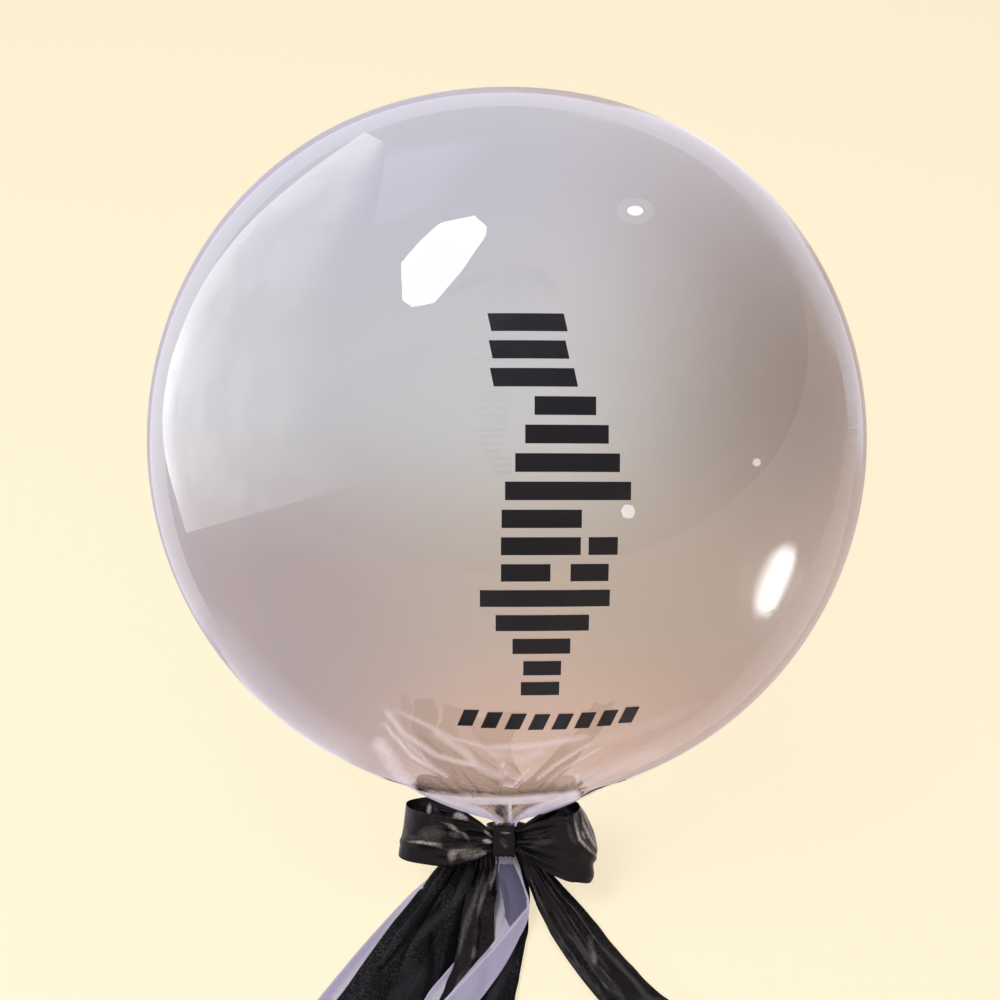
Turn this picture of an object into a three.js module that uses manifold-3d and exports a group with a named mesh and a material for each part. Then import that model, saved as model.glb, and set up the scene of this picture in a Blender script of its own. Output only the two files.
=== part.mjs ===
// A clear bubble balloon, 450 mm across, lying on the floor with its gathered neck down.
// A black bow is bound round the neck, and black and lilac ribbons trail from it over the floor.
// Millimetres, +Z up. The origin is on the floor, at the centre of the small flat that the film rests on.
// +Y runs from the ribbons towards the balloon, and -Y is the side with the bow and the vinyl strokes.
import * as THREE from "three";
import { mergeVertices } from "three/addons/utils/BufferGeometryUtils.js";
import Module from "manifold-3d";

const wasm = await Module();
wasm.setup();

// Balloon
const RADIUS = 225; // half of the 45 cm that the balloon measures across
const FLAT_DEPTH = 2; // how far the floor presses the film flat
const NECK_DIP = THREE.MathUtils.degToRad(50); // the neck points this far below the horizon
const CROWN_FLATTENING = 6; // the crown is a little lower than a true sphere
const CROWN_SPREAD = THREE.MathUtils.degToRad(28);
const SPHERE_END = THREE.MathUtils.degToRad(163); // from the crown, where the film starts to gather
const PLEATS = 14; // folds of film round the neck
const ROUND_STEPS = PLEATS * 4;
const SPHERE_RINGS = 22;

// Black bow. Its middle lies a little left of the neck, and these are heights down from the balloon's centre.
const BOW_MIDDLE = -1.7;
const BOW_DOWN = 250.5;
const BOW_THICKNESS = 0.9;
const BOW_WAIST_HALF = 6.4; // half the ribbon's width where the knot pinches it
const KNOT_WIDTH = 14;
const KNOT_STEPS = 28;
const KNOT_SQUARENESS = 7;
const WRAP_TOP = 243.8;
const WRAP_BOTTOM = 255;
const WRAP_STEPS = 32;
const WRAP_THICKNESS = 0.8;
const BAND_THICKNESS = 0.8;

// Ribbons
const RIBBON_THICKNESS = 0.9;
const AIR = 0.35; // touching pieces keep this gap

// Vinyl strokes
const VINYL_GAP = 0.3;
const VINYL_THICKNESS = 0.5;
const VINYL_STEP = 11; // longest straight facet along a stroke

const CENTRE_HEIGHT = RADIUS - FLAT_DEPTH;

// Materials

const clearFilm = new THREE.MeshStandardMaterial({
  color: 0xc9c3cc,
  roughness: 0.05,
  metalness: 0,
  transparent: true,
  opacity: 0.35,
});
const glossyRibbon = new THREE.MeshStandardMaterial({ color: 0x171416, roughness: 0.25, metalness: 0 });
const velvetRibbon = new THREE.MeshStandardMaterial({ color: 0x141316, roughness: 0.95, metalness: 0 });
const lilacRibbon = new THREE.MeshStandardMaterial({ color: 0xbdb3d0, roughness: 0.7, metalness: 0 });
const blackVinyl = new THREE.MeshStandardMaterial({ color: 0x1b191c, roughness: 0.4, metalness: 0 });

// Places

// A point of the balloon, right and down and towards the front as one looks at it with its neck down.
function placed(right, down, front) {
  return new THREE.Vector3(
    right,
    -down * Math.cos(NECK_DIP) - front * Math.sin(NECK_DIP),
    CENTRE_HEIGHT - down * Math.sin(NECK_DIP) + front * Math.cos(NECK_DIP),
  );
}

function eased(from, to, value) {
  return THREE.MathUtils.smoothstep(value, from, to);
}

// Closed meshes

// Makes a geometry from points and triangles, and turns it the right way out.
function closedGeometry(points, triangles) {
  let volume = 0;
  for (const [a, b, c] of triangles)
    volume += points[a].dot(new THREE.Vector3().crossVectors(points[b], points[c]));
  const index = triangles.flatMap(([a, b, c]) => (volume < 0 ? [a, c, b] : [a, b, c]));
  const geometry = new THREE.BufferGeometry().setFromPoints(points);
  geometry.setIndex(index);
  return geometry;
}

// Gives a grid of points, rows along a strip and columns across it, a thickness along its own normal.
function thickSheet(grid, thickness, ring = false) {
  const rows = grid.length;
  const columns = grid[0].length;
  const row = (i) => (ring ? (i + rows) % rows : THREE.MathUtils.clamp(i, 0, rows - 1));
  const points = [];
  for (const side of [0.5, -0.5])
    grid.forEach((line, i) =>
      line.forEach((point, j) => {
        const along = grid[row(i + 1)][j].clone().sub(grid[row(i - 1)][j]);
        const across = line[Math.min(j + 1, columns - 1)].clone().sub(line[Math.max(j - 1, 0)]);
        const normal = along.cross(across).normalize();
        points.push(point.clone().addScaledVector(normal, side * thickness));
      }),
    );
  const at = (side, i, j) => side * rows * columns + row(i) * columns + j;
  const triangles = [];
  const quad = (a, b, c, d) => triangles.push([a, b, c], [a, c, d]);
  const steps = ring ? rows : rows - 1;
  for (let i = 0; i < steps; i++) {
    for (let j = 0; j + 1 < columns; j++) {
      quad(at(0, i, j), at(0, i, j + 1), at(0, i + 1, j + 1), at(0, i + 1, j));
      quad(at(1, i, j), at(1, i + 1, j), at(1, i + 1, j + 1), at(1, i, j + 1));
    }
    quad(at(0, i, 0), at(0, i + 1, 0), at(1, i + 1, 0), at(1, i, 0));
    const last = columns - 1;
    quad(at(0, i, last), at(1, i, last), at(1, i + 1, last), at(0, i + 1, last));
  }
  if (!ring)
    for (let j = 0; j + 1 < columns; j++) {
      quad(at(0, 0, j), at(1, 0, j), at(1, 0, j + 1), at(0, 0, j + 1));
      quad(at(0, rows - 1, j), at(0, rows - 1, j + 1), at(1, rows - 1, j + 1), at(1, rows - 1, j));
    }
  return closedGeometry(points, triangles);
}

function asManifold(geometry) {
  const bare = new THREE.BufferGeometry().setAttribute("position", geometry.getAttribute("position"));
  bare.setIndex(geometry.index);
  const merged = mergeVertices(bare, 1e-3);
  const vertProperties = merged.getAttribute("position").array;
  const triVerts = new Uint32Array(merged.index.array);
  return new wasm.Manifold(new wasm.Mesh({ numProp: 3, vertProperties, triVerts }));
}

function fromManifold(solid) {
  const { vertProperties, triVerts } = solid.getMesh();
  const geometry = new THREE.BufferGeometry();
  geometry.setAttribute("position", new THREE.BufferAttribute(vertProperties, 3));
  geometry.setIndex(new THREE.BufferAttribute(triVerts, 1));
  return geometry;
}

// Balloon

// The film from crown to cut end: radius, distance down, and how deep its pleats are there.
function filmProfile() {
  const rings = [];
  for (let k = 1; k <= SPHERE_RINGS; k++) {
    const angle = (SPHERE_END * k) / SPHERE_RINGS;
    const reach = RADIUS - CROWN_FLATTENING * Math.exp(-((angle / CROWN_SPREAD) ** 2));
    rings.push([reach * Math.sin(angle), -reach * Math.cos(angle), 0]);
  }
  // The gathered funnel, the bound neck, and the cut end just below the binding.
  rings.push([56, 220.2, 0.6], [46, 223.8, 1.2], [35.5, 227.4, 1.8], [25.5, 231.2, 2], [16.5, 235.2, 1.8]);
  rings.push([9, 239.2, 1.2], [5.2, 242.8, 0.6], [4.5, 250, 0.4], [4.6, 256, 0.4], [4.6, 258, 0.4]);
  return rings;
}

function balloonGeometry() {
  const profile = filmProfile();
  const points = [placed(0, -(RADIUS - CROWN_FLATTENING), 0)];
  profile.forEach(([radius, down, depth], k) => {
    const [r0, d0] = profile[Math.max(k - 1, 0)];
    const [r1, d1] = profile[Math.min(k + 1, profile.length - 1)];
    const slope = Math.hypot(r1 - r0, d1 - d0);
    for (let i = 0; i < ROUND_STEPS; i++) {
      const turn = (2 * Math.PI * i) / ROUND_STEPS;
      const fold = depth * Math.cos(PLEATS * turn);
      const r = radius + (fold * (d1 - d0)) / slope;
      const down2 = down - (fold * (r1 - r0)) / slope;
      points.push(placed(r * Math.sin(turn), down2, r * Math.cos(turn)));
    }
  });
  const end = points.length;
  points.push(placed(0, profile.at(-1)[1] - 1, 0));
  const at = (ring, i) => 1 + ring * ROUND_STEPS + (i % ROUND_STEPS);
  const triangles = [];
  for (let i = 0; i < ROUND_STEPS; i++) {
    triangles.push([0, at(0, i), at(0, i + 1)]);
    for (let k = 0; k + 1 < profile.length; k++) {
      triangles.push([at(k, i), at(k + 1, i), at(k + 1, i + 1)]);
      triangles.push([at(k, i), at(k + 1, i + 1), at(k, i + 1)]);
    }
    triangles.push([end, at(profile.length - 1, i + 1), at(profile.length - 1, i)]);
  }
  return closedGeometry(points, triangles);
}

// The floor presses the lowest part of the film flat.
function restingBalloon() {
  const ground = new THREE.BoxGeometry(4 * RADIUS, 4 * RADIUS, RADIUS);
  ground.deleteAttribute("normal");
  ground.deleteAttribute("uv");
  ground.translate(0, 0, -RADIUS / 2);
  return fromManifold(asManifold(balloonGeometry()).subtract(asManifold(ground)));
}

// Bow

// The loops are one closed strip, pinched in the middle.
// Its line goes back right, front right, front left, back left: distance out, and distance to the front.
const BOW_LINE = [
  [0, 15.6], [8, 15.3], [17, 12], [28, 6], [39, 1.5], [49, 1], [56, 6], [57.5, 15], [54, 26], [44, 32],
  [30, 30.5], [18, 25.5], [8, 21], [0, 20.1], [-8, 21], [-18, 25], [-30, 29.5], [-44, 31.5], [-56, 28],
  [-63, 18.5], [-62.5, 8], [-54, 1.5], [-41, 1], [-28, 6], [-17, 12], [-8, 15.3],
];
const BOW_STEPS = 46;
const BOW_ACROSS = 6;
const BOW_DEPTH_MIDDLE = 17.8; // halfway between the bow's front and back layers
const LOOP_FLARE = 3.5; // the loops stand wider open along their upper edges
const LOOP_TILT = 0.15; // their front layers hang lower than their back ones
const BACK_LAG = 0.7; // and their back layers widen further out
const SHUT_REACH = 9; // this far out, the knot still holds the loops shut
const OPENING_CURVE = 1.8; // they open quickly at first, then slowly
const DROOP_START = 8;
const LOOP_REACH = 58; // how far out the loops' ends are
const LEAN_START = 25;
const PLEAT_DEPTH = 0.9; // the pinched ribbon's lengthwise pleats
const PLEAT_REACH = 36; // how far out they have smoothed away
// half: half the ribbon's width at the loop's end. opens: how far out it reaches that width.
// droop: how far the end hangs below the knot. lean and round: how its outer edge slants and bulges.
const LOOPS = {
  left: { half: 15.8, opens: 35, droop: -5.6, lean: -6, round: 0 },
  right: { half: 21, opens: 45, droop: 1.2, lean: 6.5, round: -7 },
};

function bowLoops() {
  const line = new THREE.CatmullRomCurve3(
    BOW_LINE.map(([out, front]) => new THREE.Vector3(out, front, 0)),
    true,
  );
  const grid = [];
  for (let i = 0; i < BOW_STEPS; i++) {
    const at = line.getPointAt(i / BOW_STEPS);
    const way = line.getTangentAt(i / BOW_STEPS);
    const reach = Math.abs(at.x);
    const loop = at.x > 0 ? LOOPS.right : LOOPS.left;
    const opens = loop.opens + BACK_LAG * Math.max(BOW_DEPTH_MIDDLE - at.y, 0);
    const shut = THREE.MathUtils.clamp((opens - reach) / (opens - SHUT_REACH), 0, 1);
    const open = 1 - shut ** OPENING_CURVE;
    const half = THREE.MathUtils.lerp(BOW_WAIST_HALF, loop.half, open);
    const tilt = LOOP_TILT * (at.y - BOW_DEPTH_MIDDLE) * open;
    const down = BOW_DOWN + loop.droop * eased(DROOP_START, LOOP_REACH, reach) + tilt;
    const pleat = PLEAT_DEPTH * (1 - eased(DROOP_START, PLEAT_REACH, reach));
    const points = [];
    for (let j = 0; j <= BOW_ACROSS; j++) {
      const across = (2 * j) / BOW_ACROSS - 1;
      const flare = -across * LOOP_FLARE * open;
      const slant = (loop.lean * across + loop.round * across ** 2) * eased(LEAN_START, LOOP_REACH, reach);
      points.push(
        placed(
          BOW_MIDDLE + at.x + way.y * flare + slant,
          down + across * half,
          at.y - way.x * flare + pleat * Math.cos(2 * Math.PI * across),
        ),
      );
    }
    grid.push(points);
  }
  return thickSheet(grid, BOW_THICKNESS, true);
}

// A ring of ribbon: centre and half sizes of its rounded-square line, swept over a width.
function ringBand(steps, pointAt, widths, thickness) {
  const grid = [];
  for (let i = 0; i < steps; i++) grid.push(widths.map((w) => pointAt((2 * Math.PI * i) / steps, w)));
  return thickSheet(grid, thickness, true);
}

function roundedSquare(turn, halfA, halfB, squareness) {
  const [c, s] = [Math.cos(turn), Math.sin(turn)];
  const scale = (Math.abs(c) ** squareness + Math.abs(s) ** squareness) ** (-1 / squareness);
  return [halfA * c * scale, halfB * s * scale];
}

// The short band that goes over the bow's middle, in front of the neck.
function bowKnot() {
  const [halfDown, halfDeep, front] = [9.8, 6.1, 16.8];
  return ringBand(
    KNOT_STEPS,
    (turn, side) => {
      const [down, deep] = roundedSquare(turn, halfDown, halfDeep, KNOT_SQUARENESS);
      return placed(BOW_MIDDLE + (side * KNOT_WIDTH) / 2, BOW_DOWN + down, front + deep);
    },
    [-1, 1],
    BAND_THICKNESS,
  );
}

// The turn of the same ribbon round the neck, which also binds the ribbons' heads.
function neckWrap() {
  const [halfWide, halfDeep, front] = [12.4, 10.8, -1.2];
  return ringBand(
    WRAP_STEPS,
    (turn, down) => placed(halfWide * Math.cos(turn), down, front + halfDeep * Math.sin(turn)),
    [WRAP_TOP, WRAP_BOTTOM],
    WRAP_THICKNESS,
  );
}

// Ribbons

// What already lies on the floor, as a height on a grid, so that the next ribbon is laid over it.
const BED_CELL = 2;
const BED_REACH = 5; // a ribbon starts to rise this far before the one that it crosses
const BED_START = -187; // nearer the neck than this, the ribbons hang free of one another
const bed = new Map();

function bedKey(x, y) {
  return `${Math.round(x / BED_CELL)},${Math.round(y / BED_CELL)}`;
}

function bedHeight(x, y) {
  let height = 0;
  for (let dx = -BED_REACH; dx <= BED_REACH; dx += BED_CELL / 2)
    for (let dy = -BED_REACH; dy <= BED_REACH; dy += BED_CELL / 2)
      if (Math.hypot(dx, dy) <= BED_REACH) height = Math.max(height, bed.get(bedKey(x + dx, y + dy)) ?? 0);
  return height;
}

function addToBed(grid, thickness) {
  const fine = 8; // each facet is read at this many places a side
  for (let i = 0; i + 1 < grid.length; i++)
    for (let j = 0; j + 1 < grid[0].length; j++)
      for (let a = 0; a <= fine; a++)
        for (let b = 0; b <= fine; b++) {
          const left = grid[i][j].clone().lerp(grid[i + 1][j], a / fine);
          const right = grid[i][j + 1].clone().lerp(grid[i + 1][j + 1], a / fine);
          const point = left.lerp(right, b / fine);
          if (point.y > BED_START) continue;
          const key = bedKey(point.x, point.y);
          bed.set(key, Math.max(bed.get(key) ?? 0, point.z + thickness / 2));
        }
}

// Lifts a ribbon clear of the floor and of the ribbons below it.
function layOver(grid, thickness) {
  for (const row of grid)
    for (const point of row) {
      const below = point.y > BED_START ? 0 : bedHeight(point.x, point.y);
      point.z = Math.max(point.z, below + thickness / 2 + AIR);
    }
}

// Every ribbon starts in the binding and ends cut on the floor.
// head: where it leaves the binding, right, down and front. floor: the line that it then follows.
// wide and fold: half its width and its lengthwise folds' depth, at the stations. waves: how many folds.
// slant and notch: how its end is cut.
const STATIONS = [0, 10, 25, 45, 70, 100, 150, 200, 260]; // distances from the binding
const RIBBONS = [
  {
    name: "lilac_ribbon_left",
    material: lilacRibbon,
    head: [[-0.6, 245.3, -9.6], [-0.6, 251, -9.6], [-0.8, 260, -9.7]],
    floor: [
      [-17, -165.5, 11], [-34, -173.5, 7], [-50, -187, 4], [-70, -213, 3], [-87, -238, 3],
      [-106, -268, 3], [-130, -306, 6], [-146, -346, 2.5], [-170, -384, 2.5],
    ],
    wide: [1.5, 1.6, 5, 8, 9, 9, 9, 9, 9],
    fold: [0.4, 0.5, 0.8, 0.8, 0.5, 0.3, 0.3, 0.3, 0.3],
    waves: 1,
    slant: 10,
  },
  {
    name: "velvet_ribbon_outer",
    material: velvetRibbon,
    head: [[-4.2, 245.3, -7.9], [-4.2, 251, -7.9], [-4.4, 259.5, -7.9]],
    floor: [
      [-26, -163, 18], [-37, -174, 11], [-48, -192, 5], [-67, -223, 4], [-89, -265, 4],
      [-110, -304, 6], [-118, -346, 4], [-136, -390, 3],
    ],
    wide: [1.5, 1.8, 5.5, 9, 10, 11, 13, 16, 17.5],
    fold: [0.5, 0.6, 1.6, 2.6, 2.6, 2.2, 1.6, 1.2, 1],
    waves: 1,
    slant: -12,
  },
  {
    name: "velvet_ribbon_inner",
    material: velvetRibbon,
    head: [[-6.8, 245.3, -4.6], [-6.8, 251, -4.6], [-6.9, 259.5, -4.6]],
    floor: [
      [-17, -166, 22], [-21.5, -177, 17], [-28, -192, 8], [-39, -224, 4], [-53, -265, 4],
      [-68, -304, 7], [-72, -346, 4], [-84, -392, 3],
    ],
    wide: [1.2, 1.6, 6.5, 10.5, 14, 16, 18, 18, 18],
    fold: [0.4, 0.6, 1.6, 2.6, 2.8, 2.4, 1.8, 1.4, 1],
    waves: 1.5,
    slant: 12,
  },
  {
    name: "velvet_ribbon_right",
    material: velvetRibbon,
    head: [[5.8, 245.3, -5.6], [5.8, 251, -5.6], [7, 260, -6.4]],
    floor: [
      [7, -169.5, 12], [6.5, -181, 7], [4.5, -198, 4], [-1, -227, 4], [-9, -265, 4],
      [-10, -304, 6], [-2, -346, 4], [4, -392, 3],
    ],
    wide: [1.3, 1.6, 5, 8.5, 11, 12.5, 15, 17, 17.5],
    fold: [0.5, 0.6, 1.6, 2.6, 2.8, 2.4, 1.6, 1.2, 1],
    waves: 1.5,
    slant: -12,
  },
  {
    name: "lilac_ribbon_back",
    material: lilacRibbon,
    head: [[1.4, 245.3, -6.9], [1.4, 251, -6.9], [0, 260, -6.6]],
    floor: [
      [-1.5, -173.5, 18], [-3, -183, 12], [-4.5, -196, 7], [-9, -217, 6], [-24, -243, 6],
      [-41, -270, 6], [-50, -306, 6], [-48, -350, 2.5],
    ],
    wide: [1.3, 1.5, 5, 6.5, 7.5, 8.5, 9, 9, 9],
    fold: [0.4, 0.5, 0.8, 0.8, 0.5, 0.3, 0.3, 0.3, 0.3],
    waves: 1,
    slant: -10,
  },
  {
    name: "bow_tail_left",
    material: glossyRibbon,
    head: [[-2.6, 250, 13], [-8.6, 250, 13], [-13.2, 253.6, 12.2]],
    floor: [
      [-13.2, -177, 22], [-15, -190, 15], [-17.5, -208, 8], [-20, -234, 7], [-27, -266, 7],
      [-36, -300, 8], [-30, -334, 5], [-34, -370, 3],
    ],
    wide: [2.6, 2.9, 5.8, 9.2, 10, 11, 14, 17, 18],
    fold: [0.4, 0.6, 1.2, 2, 2.4, 2.4, 2, 1.4, 1],
    waves: 1.5,
    notch: 16,
  },
  {
    name: "lilac_ribbon_front",
    material: lilacRibbon,
    head: [[0, 245.3, 7], [0, 251, 7], [0.2, 259, 7]],
    floor: [
      [1.5, -179, 21], [3.5, -189, 15.5], [6, -199, 11.5], [5.5, -211, 9.5], [-4, -234, 9],
      [-25, -267, 8], [-48, -300, 5], [-62, -340, 3],
    ],
    wide: [2.4, 3, 7, 8.5, 6, 7.5, 9, 9, 9],
    fold: [0.2, 0.3, 0.8, 1, 0.8, 0.5, 0.3, 0.3, 0.3],
    waves: 1,
    slant: 10,
  },
  {
    name: "bow_tail_right",
    material: glossyRibbon,
    head: [[0, 250.3, 12.9], [5, 250.6, 12.9], [10.2, 255, 11.8]],
    floor: [
      [17, -178, 21.5], [25.5, -190, 14], [37, -206, 8], [50, -228, 6], [74, -264, 6],
      [105, -298, 9], [126, -332, 6], [152, -362, 3],
    ],
    wide: [2.8, 3.2, 6, 10.5, 14, 15, 16, 17.5, 18],
    fold: [0.4, 0.6, 1.4, 2.6, 3, 2.6, 2, 1.4, 1],
    waves: 1,
    notch: 16,
  },
];
const RIBBON_STEPS = 17;
const RIBBON_ACROSS = 6;
const ROW_CROWDING = 1.25; // the rows lie closer together near the knot, where the ribbon bends most
const TURN_LENGTH = 40; // over this first stretch a ribbon turns from facing the front to facing up
const TOWARDS_FRONT = new THREE.Vector3(0, -Math.sin(NECK_DIP), Math.cos(NECK_DIP));
const UP = new THREE.Vector3(0, 0, 1);

// Reads a list of values, one for each station, at a distance from the binding.
function along(values, distance) {
  const k = Math.max(1, STATIONS.findIndex((station, n) => station >= distance || n === STATIONS.length - 1));
  const share = THREE.MathUtils.inverseLerp(STATIONS[k - 1], STATIONS[k], distance);
  return THREE.MathUtils.lerp(values[k - 1], values[k], Math.min(share, 1));
}

function ribbonGrid({ head, floor, wide, fold, waves, slant = 0, notch = 0 }) {
  const heads = head.map((place) => placed(...place));
  const laid = floor.map(([x, y, z]) => new THREE.Vector3(x, y, z));
  const line = new THREE.CatmullRomCurve3([...heads, ...laid], false, "centripetal");
  const length = line.getLength();
  const grid = [];
  for (let i = 0; i <= RIBBON_STEPS; i++) {
    const points = [];
    for (let j = 0; j <= RIBBON_ACROSS; j++) {
      const across = (2 * j) / RIBBON_ACROSS - 1;
      const trimmed = notch * (1 - Math.abs(across)) + (Math.abs(slant) + slant * across) / 2;
      const share = (i / RIBBON_STEPS) ** ROW_CROWDING * (1 - trimmed / length);
      const point = line.getPointAt(share);
      const way = line.getTangentAt(share);
      const facing = TOWARDS_FRONT.clone().lerp(UP, eased(0, TURN_LENGTH, share * length));
      const side = new THREE.Vector3().crossVectors(way, facing).normalize();
      const normal = new THREE.Vector3().crossVectors(side, way);
      const half = along(wide, share * length);
      point.addScaledVector(side, -across * half);
      point.addScaledVector(normal, along(fold, share * length) * Math.cos(Math.PI * waves * across));
      points.push(point);
    }
    grid.push(points);
  }
  return grid;
}

// Vinyl strokes

// The column of bars on the film's front. Distances run over the film, right and up from the front's centre.
const COLUMN_TOP = 55;
const COLUMN_PITCH = 14.6;
const BAR_HEIGHT = 9.6;
const COLUMN = [
  { name: "vinyl_top", lean: -1, ends: [[-9.7, 29.8], [-9, 30.6], [-8.4, 35]] },
  { name: "vinyl_upper", lean: 0, ends: [[13.5, 45.5], [8.7, 52.2], [3.6, 58.3], [-1.6, 64.5]] },
  { name: "vinyl_middle", lean: 0, ends: [[-3.4, 38.2], [-3.7, 37.8], [-3.7, 22]] },
  { name: "vinyl_lower", lean: 0, ends: [[-14.7, 54], [-6.5, 43], [2.4, 33.2], [8.2, 28.5], [7, 27.8]] },
];
const SIDE_BARS = [
  { name: "vinyl_side_1", ends: [42, 57.7], up: -61.8 },
  { name: "vinyl_side_2", ends: [32.6, 53], up: -76.4 },
];
// The curved row of small dashes below the column.
const DASHES = 8;
const DASH_MIDDLE = 23.8;
const DASH_PITCH = 13;
const DASH_LENGTH = 8.4;
const DASH_HEIGHT = 13.5;
const DASH_LEAN = 2;
const DASH_ROW_UP = -176.5;
const DASH_ROW_RISE = 4.8; // the row's ends stand this much higher than its middle

// A point stuck on the film, a distance right and up of the front's centre, and a distance off its surface.
function onFilm(right, up, off) {
  const rise = up / RADIUS;
  const turn = right / (RADIUS * Math.cos(rise));
  const reach = RADIUS + off;
  const level = reach * Math.cos(rise);
  return placed(level * Math.sin(turn), -reach * Math.sin(rise), level * Math.cos(turn));
}

function stroke(left, right, up, height, lean) {
  const steps = Math.max(1, Math.ceil((right - left) / VINYL_STEP));
  const grid = [];
  for (let i = 0; i <= steps; i++) {
    const middle = THREE.MathUtils.lerp(left, right, i / steps);
    grid.push(
      [-1, 1].map((b) => onFilm(middle + b * lean, up + (b * height) / 2, VINYL_GAP + VINYL_THICKNESS / 2)),
    );
  }
  return thickSheet(grid, VINYL_THICKNESS);
}

// The whole object

const part = new THREE.Group();

function add(name, geometry, material) {
  const mesh = new THREE.Mesh(geometry, material);
  mesh.name = name;
  part.add(mesh);
}

add("balloon", restingBalloon(), clearFilm);
add("bow_loops", bowLoops(), glossyRibbon);
add("bow_knot", bowKnot(), glossyRibbon);
add("bow_neck_wrap", neckWrap(), glossyRibbon);

for (const ribbon of RIBBONS) {
  const grid = ribbonGrid(ribbon);
  layOver(grid, RIBBON_THICKNESS);
  addToBed(grid, RIBBON_THICKNESS);
  add(ribbon.name, thickSheet(grid, RIBBON_THICKNESS), ribbon.material);
}

let columnRow = 0;
for (const { name, lean, ends } of COLUMN)
  ends.forEach(([left, right], k) => {
    const up = COLUMN_TOP - COLUMN_PITCH * columnRow;
    columnRow += 1;
    add(`${name}_${k + 1}`, stroke(left, right, up, BAR_HEIGHT, lean), blackVinyl);
  });
for (const { name, ends, up } of SIDE_BARS) add(name, stroke(...ends, up, BAR_HEIGHT, 0), blackVinyl);

for (let k = 0; k < DASHES; k++) {
  const place = k - (DASHES - 1) / 2;
  const middle = DASH_MIDDLE + place * DASH_PITCH;
  const up = DASH_ROW_UP + DASH_ROW_RISE * (place / (DASHES / 2)) ** 2;
  const shape = stroke(middle - DASH_LENGTH / 2, middle + DASH_LENGTH / 2, up, DASH_HEIGHT, DASH_LEAN);
  add(`vinyl_dash_${k + 1}`, shape, blackVinyl);
}

export default part;
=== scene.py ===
# %% [markdown]
# # A clear bubble balloon with a black bow
#
# The balloon is a thin film of clear plastic, 45 cm across. Its film is gathered into a neck, and a glossy
# black ribbon is bound round the neck and tied over it in a bow. Velvet and grosgrain ribbons hang from
# the binding. The balloon has no stand, so it lies on the floor on a small flat, and we look down on it
# with its neck towards us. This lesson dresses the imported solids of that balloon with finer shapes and
# with materials.
#
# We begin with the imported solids, because every piece has to lie where its solid lies.

import math

import bpy
import numpy as np
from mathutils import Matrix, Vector


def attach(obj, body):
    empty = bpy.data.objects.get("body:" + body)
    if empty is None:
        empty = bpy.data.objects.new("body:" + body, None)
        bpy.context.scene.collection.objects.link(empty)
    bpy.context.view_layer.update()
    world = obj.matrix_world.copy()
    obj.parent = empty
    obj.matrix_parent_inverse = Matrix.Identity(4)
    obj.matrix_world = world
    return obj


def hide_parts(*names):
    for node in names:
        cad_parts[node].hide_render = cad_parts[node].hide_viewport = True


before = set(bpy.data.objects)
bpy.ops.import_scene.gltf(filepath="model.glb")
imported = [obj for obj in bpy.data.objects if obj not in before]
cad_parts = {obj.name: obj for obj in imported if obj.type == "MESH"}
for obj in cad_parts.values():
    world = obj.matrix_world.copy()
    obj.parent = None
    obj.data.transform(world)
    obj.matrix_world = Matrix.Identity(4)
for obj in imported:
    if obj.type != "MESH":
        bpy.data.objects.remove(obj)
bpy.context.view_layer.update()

# %% [markdown]
# ## Measures
#
# A balloon maker thinks in millimetres, and Blender works in metres. We write every measure in millimetres
# and convert once, when a mesh is made. Two directions matter: the neck points 50 degrees below the
# horizon, and all the places on the balloon are given as right, down (towards the neck) and front (towards
# the viewer).

# %% Measures of the balloon
MM = 0.001
RADIUS = 225.0
FLAT_DEPTH = 2.0
NECK_DIP = math.radians(50)
CENTRE_HEIGHT = RADIUS - FLAT_DEPTH
RIGHT = np.array([1.0, 0.0, 0.0])
DOWN = np.array([0.0, -math.cos(NECK_DIP), -math.sin(NECK_DIP)])
FRONT = np.array([0.0, -math.sin(NECK_DIP), math.cos(NECK_DIP)])


def placed(right, down, front):
    """Points of the balloon in the floor's frame, from how far right, down and to the front they are."""
    middle = np.array([0.0, 0.0, CENTRE_HEIGHT])
    right, down, front = np.broadcast_arrays(right, down, front)
    return middle + right[..., None] * RIGHT + down[..., None] * DOWN + front[..., None] * FRONT


def eased(start, end, value):
    """Goes smoothly from 0 at start to 1 at end."""
    share = np.clip((np.asarray(value, float) - start) / (end - start), 0, 1)
    return share * share * (3 - 2 * share)


print("centre of the balloon:", placed(0, 0, 0).round(1))

# %% [markdown]
# ## Camera
#
# The camera looks straight at the front of the balloon, which means 40 degrees down. A 65 mm lens on a 36
# mm sensor gives the same gentle perspective as a portrait of such a balloon. It comes first, so that
# every later piece can be judged in the real view.

# %% Camera
LENS_MM, SENSOR_MM = 65, 36
CAMERA_PLACE = (-0.0042, -0.9049, 0.9337)
CAMERA_DIP = math.radians(40)
NEAREST, FARTHEST = 0.05, 60


def add_object(name, data):
    """Puts a mesh, a lamp or a camera into the scene as an object."""
    made = bpy.data.objects.new(name, data)
    bpy.context.scene.collection.objects.link(made)
    return made


camera_data = bpy.data.cameras.new("viewpoint")
camera_data.lens, camera_data.sensor_width = LENS_MM, SENSOR_MM
camera_data.clip_start, camera_data.clip_end = NEAREST, FARTHEST
camera = add_object("viewpoint", camera_data)
camera.location = CAMERA_PLACE
camera.rotation_euler = (math.radians(90) - CAMERA_DIP, 0, 0)
bpy.context.scene.camera = camera
bpy.context.scene.view_settings.view_transform = "Standard"
print("camera at", tuple(round(v, 3) for v in camera.location))

# %% [markdown]
# ## Small helpers for shader nodes
#
# A material in code is a list of nodes and links. Short helpers keep that readable. The first adds a node
# and fills its sockets. The others are the steps that we need most often: arithmetic, the three numbers of
# a place, a colour between two colours, and one range of values stretched over another.

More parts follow.
